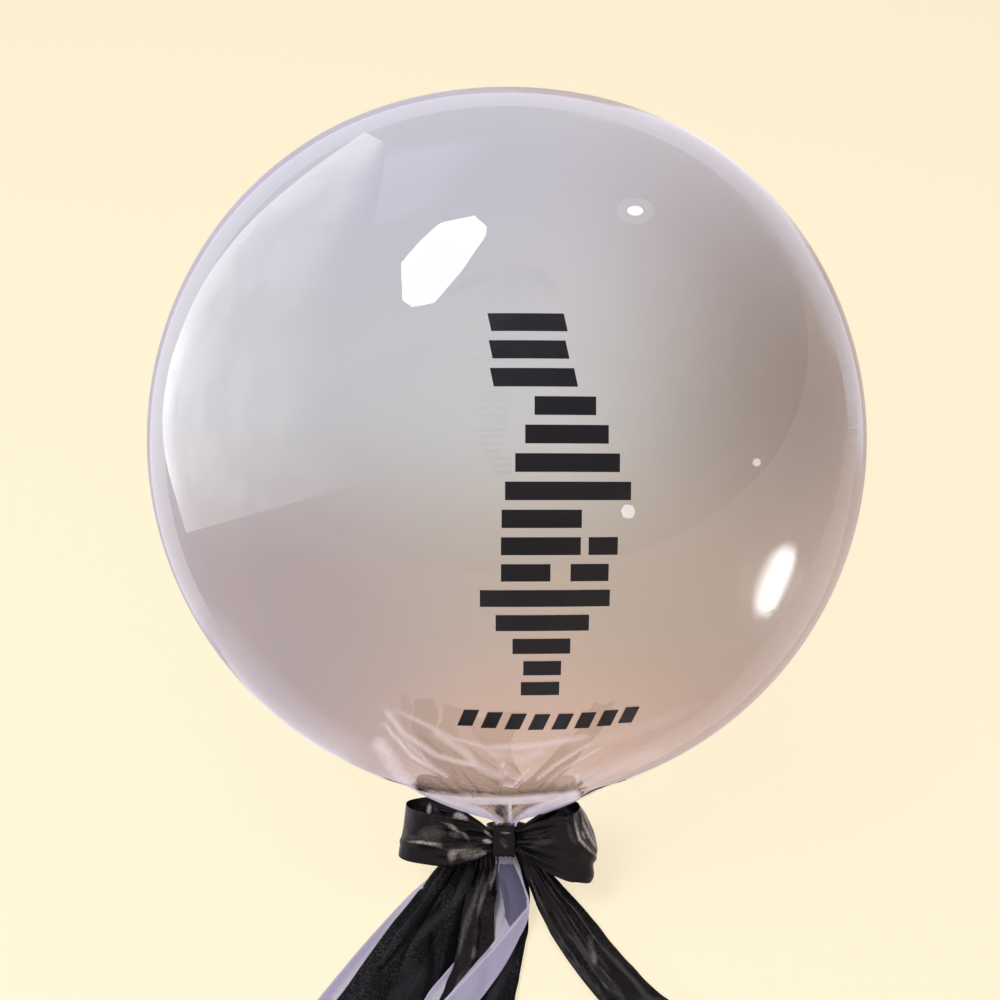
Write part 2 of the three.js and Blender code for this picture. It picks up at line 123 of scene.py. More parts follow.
# %% Node helpers
def node(tree, kind, values=None, **settings):
    """Adds a node, with its settings, and fills its input sockets by name or number."""
    made = tree.nodes.new(kind)
    for name, value in settings.items():
        setattr(made, name, value)
    for socket, value in (values or {}).items():
        if isinstance(value, bpy.types.NodeSocket):
            tree.links.new(value, made.inputs[socket])
        else:
            made.inputs[socket].default_value = value
    return made


def maths(tree, operation, a, b=0.0, clamp=False):
    """One step of arithmetic on shader values."""
    return node(tree, "ShaderNodeMath", {0: a, 1: b}, operation=operation, use_clamp=clamp).outputs[0]


def vectors(tree, operation, first, second):
    """One step of arithmetic on places or directions."""
    return node(tree, "ShaderNodeVectorMath", {0: first, 1: second}, operation=operation).outputs


def axes(tree, place):
    """The three numbers of a place."""
    return node(tree, "ShaderNodeSeparateXYZ", {0: place}).outputs


def blended(tree, share, first, second):
    """A colour between two colours."""
    mix = node(tree, "ShaderNodeMix", data_type="RGBA")
    for socket, value in ((mix.inputs[0], share), (mix.inputs[6], first), (mix.inputs[7], second)):
        if isinstance(value, bpy.types.NodeSocket):
            tree.links.new(value, socket)
        else:
            socket.default_value = value
    return mix.outputs[2]


def ramped(tree, value, low, high, to_low=0.0, to_high=1.0):
    """Stretches the values between low and high over the range from to_low to to_high."""
    sockets = {"Value": value, "From Min": low, "From Max": high, "To Min": to_low, "To Max": to_high}
    return node(tree, "ShaderNodeMapRange", sockets, interpolation_type="SMOOTHSTEP").outputs[0]


# %% [markdown]
# Four more helpers serve the patterns. The place on the piece itself keeps a pattern where it is painted,
# noise gives soft patches, a bump tilts the surface by a height, and a mix lies between two shaders. Two
# others start a material: one with a Principled shader in it for the balloon's pieces, and one with no
# shader for the studio.

# %% Pattern helpers
def object_place(tree):
    """The place on the piece itself."""
    return node(tree, "ShaderNodeTexCoord").outputs["Object"]


def noise(tree, place, per_metre, **sockets):
    """Soft patches, about so many to the metre."""
    return node(tree, "ShaderNodeTexNoise", {"Vector": place, "Scale": per_metre, **sockets}).outputs


def bumped(tree, height, distance, strength, **under):
    """A surface normal that is tilted by a height. The distance is in metres."""
    sockets = {"Height": height, "Distance": distance, "Strength": strength, **under}
    return node(tree, "ShaderNodeBump", sockets).outputs[0]


def mixed_shader(tree, share, first, second):
    """A shader between two shaders."""
    return node(tree, "ShaderNodeMixShader", {0: share, 1: first.outputs[0], 2: second.outputs[0]})


def new_material(name, **sockets):
    """A material with one Principled shader, whose plain values are set here on its own sockets."""
    material = bpy.data.materials.new(name)
    material.use_nodes = True
    shader = material.node_tree.nodes["Principled BSDF"]
    for socket, value in sockets.items():
        shader.inputs[socket.replace("_", " ")].default_value = value
    return material, material.node_tree, shader


def bare_material(name):
    """A material with no shader yet, for the studio. Its glow is only met by chance, not aimed at."""
    material = bpy.data.materials.new(name)
    material.use_nodes = True
    material.node_tree.nodes.clear()
    material.cycles.emission_sampling = "NONE"
    return material, material.node_tree


# %% [markdown]
# ## Floor, studio light and reflections
#
# Clear film has hardly any colour of its own. What we see is the floor behind it and the room mirrored in
# it. So the studio has two jobs. A pale cream floor and a soft sky light the scene evenly. Then a few
# glowing cards stand around the balloon, where only mirrored rays can see them. Photo studios often do so:
# each card shapes one highlight, and the floor stays evenly lit.

# %% Floor
CREAM = (1.0, 0.888, 0.645, 1)
PAPER = (0.46, 0.41, 0.30, 1)
LILAC_ROOM = (0.72, 0.66, 0.75, 1)
WARM_ROOM = (0.80, 0.64, 0.58, 1)
FLOOR_GLOW, FLOOR_HALF, ROOM_HALF = 0.74, 12.0, 0.4

floor_material, tree = bare_material("pale_floor")
path = node(tree, "ShaderNodeLightPath")
lit = node(tree, "ShaderNodeBsdfDiffuse", {"Color": PAPER})
glow = node(tree, "ShaderNodeEmission", {"Color": CREAM, "Strength": FLOOR_GLOW})
paper = node(tree, "ShaderNodeAddShader", {0: lit.outputs[0], 1: glow.outputs[0]})
across_floor = axes(tree, object_place(tree))[0]
room_colour = blended(tree, ramped(tree, across_floor, -ROOM_HALF, ROOM_HALF), LILAC_ROOM, WARM_ROOM)
mirrored = node(tree, "ShaderNodeEmission", {"Color": room_colour, "Strength": 1.0})
seen = mixed_shader(tree, path.outputs["Is Glossy Ray"], paper, mirrored)
node(tree, "ShaderNodeOutputMaterial", {"Surface": seen.outputs[0]})

floor_mesh = bpy.data.meshes.new("floor")
floor_corners = [(x * FLOOR_HALF, y * FLOOR_HALF, 0) for x, y in ((-1, -1), (1, -1), (1, 1), (-1, 1))]
floor_mesh.from_pydata(floor_corners, [], [(0, 1, 2, 3)])
floor_mesh.materials.append(floor_material)
floor = add_object("floor", floor_mesh)
print("floor:", 2 * FLOOR_HALF, "m wide")

# %% Sky
ROOM_LEFT, ROOM_RIGHT = (0.54, 0.50, 0.57, 1), (0.46, 0.37, 0.34, 1)
ROOM_FAR, ROOM_ABOVE = (0.80, 0.75, 0.72, 1), (0.66, 0.63, 0.72, 1)
SOFT_LIGHT, HORIZON = (0.34, 0.335, 0.35, 1), (0.90, 0.80, 0.58, 1)
FROM_LEFT_TO_RIGHT, TURNING_FAR = (-0.6, 0.7), (0.3, 0.95)

world = bpy.data.worlds.new("studio")
world.use_nodes = True
tree = world.node_tree
tree.nodes.clear()
path = node(tree, "ShaderNodeLightPath")
way = axes(tree, node(tree, "ShaderNodeTexCoord").outputs["Generated"])
walls = blended(tree, ramped(tree, way[0], *FROM_LEFT_TO_RIGHT), ROOM_LEFT, ROOM_RIGHT)
walls = blended(tree, ramped(tree, way[1], *TURNING_FAR), walls, ROOM_FAR)
room = blended(tree, ramped(tree, way[2], *TURNING_FAR), walls, ROOM_ABOVE)
sky = blended(tree, path.outputs["Is Diffuse Ray"], room, SOFT_LIGHT)
backdrop = blended(tree, path.outputs["Is Camera Ray"], sky, HORIZON)
background = node(tree, "ShaderNodeBackground", {"Color": backdrop, "Strength": 1.0})
node(tree, "ShaderNodeOutputWorld", {"Surface": background.outputs[0]})
bpy.context.scene.world = world
print("sky:", len(tree.nodes), "nodes")


# %% Lamps
def aim(thing, direction, distance):
    """Puts a thing in a direction from the balloon's middle, facing it."""
    middle = Vector((0, 0, CENTRE_HEIGHT * MM))
    direction = Vector(direction).normalized()
    thing.location = middle + direction * distance
    thing.rotation_euler = direction.to_track_quat("Z", "Y").to_euler()


def lamp(name, direction, distance, size, power, colour):
    """A soft square lamp that lights things and isn't mirrored."""
    data = bpy.data.lights.new(name, "AREA")
    data.shape, data.size, data.energy, data.color = "SQUARE", size, power, colour
    made = add_object(name, data)
    aim(made, direction, distance)
    made.visible_glossy = made.visible_transmission = False


lamp("soft_key", (-0.55, -0.45, 1.0), distance=2.2, size=1.0, power=19, colour=(1, 0.98, 0.96))
lamp("soft_fill", (0.9, -0.5, 0.8), distance=2.4, size=1.6, power=5, colour=(0.97, 0.95, 1))
print("lamps:", len(bpy.data.lights))

# %% [markdown]
# A card's place is worked out backwards. We choose where in the picture its highlight should lie, follow
# the camera's ray to the film, mirror it there, and hang that corner of the card on the mirrored ray. A
# patch is stretched between two rows of such corners. Each row is a few named places in the 1000 by 1000
# picture, with a smooth line drawn through them. Only the window keeps its corners.

# %% Places in the mirror
PICTURE_SIZE = 1000
FOCAL_LENGTH = camera_data.lens / camera_data.sensor_width * PICTURE_SIZE
EYE = np.array(camera.location)
MIDDLE = placed(0, 0, 0) * MM
SHARE_TO_FLOOR = 0.8  # a card that points down stops at this share of the way to the floor


def mirrored_place(x, y, distance):
    """The point that the front of the film mirrors at a place in the picture, some metres from the film."""
    ray = (x - PICTURE_SIZE / 2) / FOCAL_LENGTH * RIGHT + (y - PICTURE_SIZE / 2) / FOCAL_LENGTH * DOWN - FRONT
    ray /= np.linalg.norm(ray)
    from_middle = EYE - MIDDLE
    half_b = from_middle @ ray
    hit_depth = -half_b - math.sqrt(max(half_b**2 - from_middle @ from_middle + (RADIUS * MM) ** 2, 0))
    hit = EYE + hit_depth * ray
    normal = (hit - MIDDLE) / np.linalg.norm(hit - MIDDLE)
    mirrored = ray - 2 * (ray @ normal) * normal
    if mirrored[2] < 0:
        distance = min(distance, SHARE_TO_FLOOR * hit[2] / -mirrored[2])
    return hit + distance * mirrored


def smooth_line(knots, closed=False, fine=40):
    """Closely spaced points on a smooth curve through the knots."""
    p = np.array(knots, float)
    p = np.vstack([p[-1:], p, p[:2]]) if closed else np.vstack([2 * p[0] - p[1], p, 2 * p[-1] - p[-2]])
    t = np.linspace(0, 1, fine, endpoint=False)[:, None]
    pieces = []
    for a, b, c, d in zip(p, p[1:], p[2:], p[3:]):
        u, v, w = (max(np.linalg.norm(step), 1e-6) ** 0.5 for step in (b - a, c - b, d - c))
        leaving = ((b - a) / u - (c - a) / (u + v) + (c - b) / v) * v
        arriving = ((c - b) / v - (d - b) / (v + w) + (d - c) / w) * v
        bend = 3 * (c - b) - 2 * leaving - arriving
        twist = 2 * (b - c) + leaving + arriving
        pieces.append(b + leaving * t + bend * t**2 + twist * t**3)
    return np.vstack(pieces if closed else [*pieces, p[-2:-1]])


def straight_line(knots, fine):
    """Points on straight lines from knot to knot, as many as on a smooth line."""
    places = np.array(knots, float)
    share = np.linspace(0, len(places) - 1, fine * (len(places) - 1) + 1)
    return np.stack([np.interp(share, range(len(places)), places[:, k]) for k in (0, 1)], axis=1)


def disc(x, y, across, high):
    """Two rows of places that bound an oval."""
    turns = np.linspace(0, math.pi, 9)
    return [[(x - across * math.cos(t), y - side * high * math.sin(t)) for t in turns] for side in (1, -1)]


BALL_X, BALL_Y = 506.6, 441.6


def arc(reach, start, end, count):
    """Places on a circle round the ball's middle in the picture, by the clock in degrees."""
    turns = np.radians(np.linspace(start, end, count))
    return [(BALL_X + reach * math.sin(t), BALL_Y - reach * math.cos(t)) for t in turns]


print("middle of the picture is mirrored from", mirrored_place(500, 500, 1.0).round(3))

# %% One card
CARD_ROWS, CARD_FINE = 16, 6
PATCHES_TO_METRE, PATCH_RANGE = 9.0, (0.35, 0.62)


def soft_end(fade, share):
    """Falls to nothing towards an edge, where there is a fade."""
    return eased(0, fade, share) if fade else 1


def card_mesh(name, ends, distance, fade, ends_fade):
    """The card's points between its two rows, and how much each of them glows."""
    columns = len(ends[0])
    points, lights = [], []
    for b in np.linspace(0, 1, CARD_ROWS):
        edge = soft_end(fade[0], b) * soft_end(fade[1], 1 - b)
        for k, (start, end) in enumerate(zip(*ends)):
            along = k / (columns - 1)
            points.append(tuple(mirrored_place(*((1 - b) * start + b * end), distance)))
            lights.append(float(edge * soft_end(ends_fade, min(along, 1 - along))))
    corners = [k for k in range((CARD_ROWS - 1) * columns) if (k + 1) % columns]
    mesh = bpy.data.meshes.new(name)
    mesh.from_pydata(points, [], [(k, k + 1, k + columns + 1, k + columns) for k in corners])
    mesh.attributes.new("glow", "FLOAT", "POINT").data.foreach_set("value", lights)
    return mesh


def card(name, first_row, second_row, distance, strength, colour=(1, 1, 1), fade=(0, 0), **finish):
    """A glowing patch between two rows of places in the picture, with soft edges where a fade is given."""
    bend = straight_line if finish.get("cornered") else smooth_line
    ends = [bend(row, fine=CARD_FINE) for row in (first_row, second_row)]
    mesh = card_mesh(name, ends, distance, fade, finish.get("ends_fade", 0))
    material, tree = bare_material(name)
    glow = node(tree, "ShaderNodeAttribute", attribute_name="glow").outputs["Fac"]
    if "mottle" in finish:
        patches = noise(tree, object_place(tree), PATCHES_TO_METRE, Detail=3.0)[0]
        glow = maths(tree, "MULTIPLY", glow, ramped(tree, patches, *PATCH_RANGE, 1 - finish["mottle"], 1.0))
    shine = node(tree, "ShaderNodeEmission", {"Color": (*colour, 1), "Strength": strength})
    soft = mixed_shader(tree, glow, node(tree, "ShaderNodeBsdfTransparent"), shine)
    node(tree, "ShaderNodeOutputMaterial", {"Surface": soft.outputs[0]})
    mesh.materials.append(material)
    made = add_object(name, mesh)
    made.visible_camera = made.visible_diffuse = made.visible_shadow = made.visible_transmission = False


print("a card has", CARD_ROWS, "rows and", CARD_FINE, "columns from knot to knot")

# %% Cards that are mirrored in the film
NEAR, MIDWAY, FAR = 0.3, 0.6, 1.5  # metres from the film
LAYER, FAR_LAYER = 0.01, 0.1  # cards that overlap stand this far apart
WINDOW = (
    [(401, 262), (420, 240), (440, 222), (474, 215), (487, 226)],
    [(402, 300), (412, 307), (434, 303), (462, 270), (486, 236)],
)
LEFT_WALL = (
    [(186, 533), (163, 440), (172, 360), (202, 285), (247, 225), (302, 175), (365, 128)],
    [(372, 480), (344, 420), (342, 350), (350, 290), (366, 240), (380, 190), (388, 140)],
)
LEFT_EDGE = (
    [(186, 533), (163, 440), (168, 372), (190, 306)],
    [(202, 528), (178, 440), (182, 380), (204, 312)],
)
UPPER_ZONE = ([(388, 140), (380, 190), (372, 235)], [(520, 118), (490, 165), (450, 205)])
SIDE_STRIP = (
    [(750, 622), (750, 590), (764, 556), (788, 536)],
    [(770, 622), (784, 600), (796, 572), (800, 544)],
)
RIM_STRIP = (
    [(548, 90), (640, 104), (720, 144), (786, 208), (830, 290), (852, 376)],
    [(548, 112), (632, 128), (702, 166), (762, 232), (806, 306), (836, 378)],
)
RIM_BAND = (arc(357, -128, 98, 25), arc(342, -128, 98, 25))
LOW_RIGHT = (
    [(858, 400), (854, 480), (832, 575), (790, 650), (735, 708), (670, 752), (600, 785)],
    [(846, 400), (836, 485), (806, 566), (757, 648), (705, 705), (648, 740), (580, 764)],
)
LOW_LEFT = (
    [(196, 608), (240, 680), (300, 735), (370, 775)],
    [(215, 590), (270, 650), (330, 705), (395, 748)],
)

card("window", *WINDOW, FAR, strength=13, cornered=True)
card("window_glow", *disc(445, 258, 62, 64), FAR + FAR_LAYER, strength=0.5, fade=(0.6, 0.6), ends_fade=0.3)
card("left_wall", *LEFT_WALL, NEAR, strength=2.45, colour=(1, 0.97, 0.97), fade=(0, 0.45), mottle=0.35)
card("left_edge", *LEFT_EDGE, NEAR - LAYER, strength=3.3, fade=(0, 0.6), ends_fade=0.3, mottle=0.5)
card("upper_zone", *UPPER_ZONE, MIDWAY, strength=1.5, colour=(0.93, 0.93, 1), fade=(0, 0.6), ends_fade=0.2)
card("spot_top", *disc(635, 210, 8, 5), FAR, strength=12)
card("spot_top_halo", *disc(635, 210, 19, 13), FAR + FAR_LAYER, strength=1.6)
card("spot_small", *disc(408, 192, 5, 3.5), FAR, strength=6)
card("spot_right", *disc(628, 511, 7, 7), FAR, strength=10)
card("spot_far", *disc(757, 462, 4, 4), MIDWAY, strength=8)
card("side_strip", *SIDE_STRIP, NEAR, strength=12, fade=(0.45, 0.3), ends_fade=0.25)
SIDE_GLOW = {"colour": (1, 0.93, 0.9), "fade": (0.7, 0.7), "ends_fade": 0.3}
card("side_glow", *disc(772, 585, 40, 62), NEAR + LAYER, strength=1.6, **SIDE_GLOW)
card("rim_strip", *RIM_STRIP, NEAR, strength=1.25, colour=(0.95, 0.92, 1), fade=(0.15, 0.5), ends_fade=0.15)
card("rim_band", *RIM_BAND, NEAR, strength=1.25, colour=(0.95, 0.90, 1), ends_fade=0.05)
card("low_right_band", *LOW_RIGHT, NEAR, strength=1.0, colour=(1, 0.84, 0.80), fade=(0, 0.25), ends_fade=0.1)
card("low_left_band", *LOW_LEFT, NEAR, strength=1.1, colour=(0.97, 0.90, 1), fade=(0, 0.5), ends_fade=0.2)

# %% [markdown]
# ## Shared surface effects
#
# Three effects are node groups with named inputs. Each is built once, and any finish can take it with its
# own values. Nap gives the uneven speckle of short fibres, and every ribbon and the vinyl use it. Crumple
# gives the glossy ribbon the creases of thin plastic. Ribs gives the grosgrain its fine cross ribs, read
# from the ribbon's own length and width.

# %% Node groups
CREASE_SWAY, FINE_CREASES = 0.012, 3.0
SPECKLE_MIDDLE, PATCHES_IN_NAP, NAP_PATCHES = 0.5, 28.0, (0.35, 0.7)


def new_group(name, inputs, outputs):
    """A shader node group with float inputs at their usual values."""
    group = bpy.data.node_groups.new(name, "ShaderNodeTree")
    for socket, value in inputs.items():
        made = group.interface.new_socket(socket, in_out="INPUT", socket_type="NodeSocketFloat")
        made.default_value = value
    for socket in outputs:
        group.interface.new_socket(socket, in_out="OUTPUT", socket_type="NodeSocketFloat")
    return group, node(group, "NodeGroupInput").outputs, node(group, "NodeGroupOutput").inputs


crumple, given, result = new_group("crumple", {"Size": 0.02, "Sharpness": 2.0, "Fine": 0.35}, ["Height"])
coordinates = object_place(crumple)
per_metre = maths(crumple, "DIVIDE", 1.0, given["Size"])
sway = noise(crumple, coordinates, per_metre, Detail=1.0)["Color"]
moved = vectors(crumple, "MULTIPLY", sway, (CREASE_SWAY, CREASE_SWAY, CREASE_SWAY))[0]
bent = vectors(crumple, "ADD", coordinates, moved)[0]
facets = node(crumple, "ShaderNodeTexVoronoi", {"Vector": bent, "Scale": per_metre})
ridge = maths(crumple, "POWER", facets.outputs["Distance"], given["Sharpness"])
small = noise(crumple, bent, maths(crumple, "MULTIPLY", per_metre, FINE_CREASES), Detail=2.0)[0]
crumpled = maths(crumple, "ADD", ridge, maths(crumple, "MULTIPLY", small, given["Fine"]))
crumple.links.new(crumpled, result["Height"])

nap, given, result = new_group("nap", {"Size": 0.0006, "Contrast": 1.0}, ["Speckle", "Patches"])
coordinates = object_place(nap)
per_metre = maths(nap, "DIVIDE", 1.0, given["Size"])
grain = noise(nap, coordinates, per_metre, Detail=2.0, Roughness=0.7)[0]
spread = maths(nap, "MULTIPLY", maths(nap, "SUBTRACT", grain, SPECKLE_MIDDLE), given["Contrast"])
nap.links.new(maths(nap, "ADD", spread, SPECKLE_MIDDLE, clamp=True), result["Speckle"])
broad = noise(nap, coordinates, PATCHES_IN_NAP, Detail=3.0)[0]
nap.links.new(ramped(nap, broad, *NAP_PATCHES), result["Patches"])

RIB_SIZES = {"Pitch": 0.001, "Half Width": 0.009, "Selvedge": 0.001}
ribs, given, result = new_group("ribs", RIB_SIZES, ["Height", "Edge"])
way = axes(ribs, node(ribs, "ShaderNodeUVMap", uv_map="cloth").outputs[0])
turns = maths(ribs, "MULTIPLY", maths(ribs, "DIVIDE", way[1], given["Pitch"]), math.tau)
wave = maths(ribs, "ABSOLUTE", maths(ribs, "SINE", maths(ribs, "MULTIPLY", turns, 0.5)))
ribs.links.new(wave, result["Height"])
inset = maths(ribs, "SUBTRACT", given["Half Width"], maths(ribs, "ABSOLUTE", way[0]))
ribs.links.new(maths(ribs, "LESS_THAN", inset, given["Selvedge"]), result["Edge"])
print("effects:", [group.name for group in bpy.data.node_groups])


# %% Effects and tones in a material
def use_group(tree, group, **values):
    """Places a shared effect in a material, with its own values."""
    placed_group = node(tree, "ShaderNodeGroup", node_tree=group)
    for name, value in values.items():
        placed_group.inputs[name.replace("_", " ")].default_value = value
    return placed_group.outputs


SPECKS_TO_METRE, SPECK_RANGE = 800.0, (0.38, 0.62)


def toned(tree, colour, pale, deepest=0.25, deep=(0, 0, 0, 1), mottled=0.0):
    """Blends a colour to a pale painted highlight where the tone is above zero, and to painted shade below
    it.
    """
    # The tone attribute is painted light: above zero a painted highlight, below zero painted shade in a fold.
    tone = node(tree, "ShaderNodeAttribute", attribute_name="tone").outputs["Fac"]
    dark = blended(tree, ramped(tree, tone, -1.0, 0.0, deepest, 1.0), deep, colour)
    wear_and_highlight = maths(tree, "MAXIMUM", tone, 0.0)
    if mottled:
        specks = noise(tree, object_place(tree), SPECKS_TO_METRE, Detail=2.0, Roughness=0.6)[0]
        wear_and_highlight = maths(tree, "MULTIPLY", wear_and_highlight, ramped(tree, specks, *SPECK_RANGE, 1 - mottled, 1 + mottled))
    return blended(tree, wear_and_highlight, dark, pale)


# %% [markdown]
# ## Clear film
#
# Glass needs plain values: full transmission, the bending power of plastic, and no roughness. The film's
# tint is palest over the crown, where it is stretched thinnest. It is warmer and darker towards the neck
# and on the right. Part of that stands for thicker film, and part is painted reflection of the room and
# painted shade of what is seen through the film. Four rows of tints, each from left to right, are blended
# into each other down the ball. The film is a real thin wall, so light is hardly bent by it.
# For lamps we swap the glass for a faintly tinted see-through shader, so that the floor gets a soft pale
# shadow.

# %% Material of the film
FILM_SHADOW = (0.95, 0.945, 0.965, 1)
LEFT_BLEND, RIGHT_BLEND = (-0.17, 0.0), (0.02, 0.215)
# Painted reflection and shade: the right and neck rows are darker and warmer than thickness alone gives.
TINTS = [  # metres towards the neck, then the tint on the left, in the middle and on the right
    (-0.20, (0.855, 0.895, 0.945, 1), (0.84, 0.89, 0.95, 1), (0.69, 0.695, 0.75, 1)),
    (-0.03, (0.875, 0.92, 0.90, 1), (0.88, 0.942, 0.935, 1), (0.59, 0.57, 0.545, 1)),
    (0.10, (0.765, 0.72, 0.685, 1), (0.815, 0.795, 0.71, 1), (0.735, 0.71, 0.66, 1)),
    (0.185, (0.70, 0.66, 0.635, 1), (0.91, 0.80, 0.70, 1), (0.69, 0.61, 0.56, 1)),
]
WAVES_TO_METRE, WAVE_HEIGHT, WAVE_STRENGTH = 7.0, 0.0012, 0.35

film_material, tree, shader = new_material(
    "film_clear", Roughness=0.0, IOR=1.46, Transmission_Weight=1.0, Specular_IOR_Level=0.5
)
coordinates = object_place(tree)
from_middle = vectors(tree, "SUBTRACT", coordinates, (0, 0, CENTRE_HEIGHT * MM))[0]
towards_neck = vectors(tree, "DOT_PRODUCT", from_middle, tuple(DOWN))["Value"]
across = axes(tree, from_middle)[0]
left_half, right_half = ramped(tree, across, *LEFT_BLEND), ramped(tree, across, *RIGHT_BLEND)
tint, row_before = None, 0
for row, left, middle, right in TINTS:
    row_tint = blended(tree, right_half, blended(tree, left_half, left, middle), right)
    if tint is None:
        tint = row_tint
    else:
        tint = blended(tree, ramped(tree, towards_neck, row_before, row), tint, row_tint)
    row_before = row
tree.links.new(tint, shader.inputs["Base Color"])
waves = noise(tree, coordinates, WAVES_TO_METRE, Detail=2.0, Roughness=0.4)[0]
tree.links.new(bumped(tree, waves, WAVE_HEIGHT, WAVE_STRENGTH), shader.inputs["Normal"])
path = node(tree, "ShaderNodeLightPath")
let_through = node(tree, "ShaderNodeBsdfTransparent", {"Color": FILM_SHADOW})
lamp_rays = maths(tree, "MAXIMUM", path.outputs["Is Shadow Ray"], path.outputs["Is Diffuse Ray"])
film_shader = mixed_shader(tree, lamp_rays, shader, let_through)
tree.links.new(film_shader.outputs[0], tree.nodes["Material Output"].inputs["Surface"])
print("film tint is set at", len(TINTS), "heights")

# %% [markdown]
# ## Ribbon finishes and vinyl
#
# The bow's ribbon is a thin glossy plastic, nearly black, with crisp creases and worn, browner high spots.
# The velvet ribbons are matt, with a pale speckle where the nap catches the light, and sheen at the edges
# of their folds. The lilac grosgrain has ribs a millimetre apart and a smooth, paler selvedge. The marks
# on the film are cut from satin vinyl.

# %% Material of the glossy ribbon
gloss_material, tree, shader = new_material(
    "ribbon_gloss", IOR=1.5, Specular_IOR_Level=0.2, Coat_Weight=0.12, Coat_Roughness=0.12
)
folds = use_group(tree, crumple, Size=0.011, Sharpness=1.4, Fine=0.3)["Height"]
fibres = use_group(tree, nap, Size=0.0009, Contrast=1.6)
wear_and_highlight = maths(tree, "MULTIPLY", fibres["Patches"], maths(tree, "POWER", fibres["Speckle"], 2.0))
ribbon_black = blended(tree, wear_and_highlight, (0.0065, 0.0055, 0.0065, 1), (0.022, 0.018, 0.017, 1))
# Painted highlights in a warm pale grey, and painted shade in the folds.
ribbon_black = toned(tree, ribbon_black, (0.80, 0.72, 0.67, 1), mottled=0.4)
tree.links.new(ribbon_black, shader.inputs["Base Color"])
GLOSS_ROUGHNESS = (0.20, 0.36)
tree.links.new(ramped(tree, fibres["Patches"], 0.0, 1.0, *GLOSS_ROUGHNESS), shader.inputs["Roughness"])
grain_bump = bumped(tree, fibres["Speckle"], distance=0.0001, strength=0.12)
fold_bump = bumped(tree, folds, distance=0.0009, strength=0.4, Normal=grain_bump)
tree.links.new(fold_bump, shader.inputs["Normal"])

# %% Material of the velvet
velvet_material, tree, shader = new_material(
    "ribbon_velvet", Roughness=0.95, Sheen_Weight=0.09, Sheen_Roughness=0.45, Specular_IOR_Level=0.2
)
shader.inputs["Sheen Tint"].default_value = (0.55, 0.55, 0.6, 1)
PILE_SHARPNESS, PILE_SHARE = 3.0, (0.35, 1.0)
fibres = use_group(tree, nap, Size=0.0011, Contrast=2.6)
pile_share = ramped(tree, fibres["Patches"], 0.0, 1.0, *PILE_SHARE)
raised = maths(tree, "MULTIPLY", maths(tree, "POWER", fibres["Speckle"], PILE_SHARPNESS), pile_share)
velvet_black = blended(tree, raised, (0.004, 0.004, 0.005, 1), (0.10, 0.10, 0.11, 1))
# Painted sheen where the pile is lit, and painted shade down in the velvet's folds.
velvet_black = toned(tree, velvet_black, (0.07, 0.07, 0.075, 1), deepest=0.1)
tree.links.new(velvet_black, shader.inputs["Base Color"])
pile = bumped(tree, fibres["Speckle"], distance=0.0004, strength=0.6)
tree.links.new(pile, shader.inputs["Normal"])

# %% Material of the lilac grosgrain
lilac_material, tree, shader = new_material(
    "ribbon_grosgrain", Roughness=0.55, Sheen_Weight=0.2, Sheen_Roughness=0.4
)
GROOVE, RIB = (0.36, 0.33, 0.52, 1), (0.62, 0.57, 0.76, 1)
FIBRE, SELVEDGE = (0.74, 0.68, 0.82, 1), (0.80, 0.76, 0.86, 1)
FIBRE_SHARE, SELVEDGE_SHARE = 0.25, 0.7
woven = use_group(tree, ribs, Pitch=0.0011, Half_Width=0.009, Selvedge=0.0011)
fibres = use_group(tree, nap, Size=0.002, Contrast=0.8)
cloth_colour = blended(tree, woven["Height"], GROOVE, RIB)
fibre_share = maths(tree, "MULTIPLY", fibres["Speckle"], FIBRE_SHARE)
cloth_colour = blended(tree, fibre_share, cloth_colour, FIBRE)
selvedge_share = maths(tree, "MULTIPLY", woven["Edge"], SELVEDGE_SHARE)
cloth_colour = blended(tree, selvedge_share, cloth_colour, SELVEDGE)
# Painted shade in a deep bluish lilac, and paler where the satin back shows or a painted highlight lies.
cloth_colour = toned(tree, cloth_colour, (0.90, 0.85, 0.93, 1), deepest=0.2, deep=(0.05, 0.055, 0.13, 1))
tree.links.new(cloth_colour, shader.inputs["Base Color"])
rib_bump = bumped(tree, woven["Height"], distance=0.00025, strength=0.8)
tree.links.new(rib_bump, shader.inputs["Normal"])

# %% Material of the vinyl
VINYL_ROUGHNESS = (0.32, 0.42)
vinyl_material, tree, shader = new_material("vinyl_satin", IOR=1.5, Specular_IOR_Level=0.36)
fibres = use_group(tree, nap, Size=0.0012, Contrast=1.0)
vinyl_black = blended(tree, fibres["Patches"], (0.005, 0.0045, 0.007, 1), (0.009, 0.008, 0.011, 1))
tree.links.new(vinyl_black, shader.inputs["Base Color"])
tree.links.new(ramped(tree, fibres["Patches"], 0.0, 1.0, *VINYL_ROUGHNESS), shader.inputs["Roughness"])
skin = bumped(tree, fibres["Speckle"], distance=0.0001, strength=0.15)
tree.links.new(skin, shader.inputs["Normal"])
print("materials:", [material.name for material in bpy.data.materials])

# %% [markdown]
# ## Curves and grids
#
# Film, bow and ribbons are all thin sheets, and a sheet is a grid of points: rows along it and columns
# across it. The smooth line of the cards serves again. A few more tools read places on a line by distance,
# turn a grid into a mesh and give it a thin wall. A cloth's mesh also gets a UV map that holds each
# point's place on the cloth in metres, which is what the woven ribs read.

# %% Lines and meshes
def distances_along(line):
    """How far along a line each of its points is."""
    return np.concatenate([[0], np.cumsum(np.linalg.norm(np.diff(line, axis=0), axis=1))])


def read_line(line, distance):
    """The places on a line at some distances along it."""
    measured = distances_along(line)
    return np.stack([np.interp(distance, measured, line[:, k]) for k in range(line.shape[1])], axis=-1)


def unit(vectors_given):
    """The same directions, each one long."""
    return vectors_given / np.maximum(np.linalg.norm(vectors_given, axis=-1, keepdims=True), 1e-9)


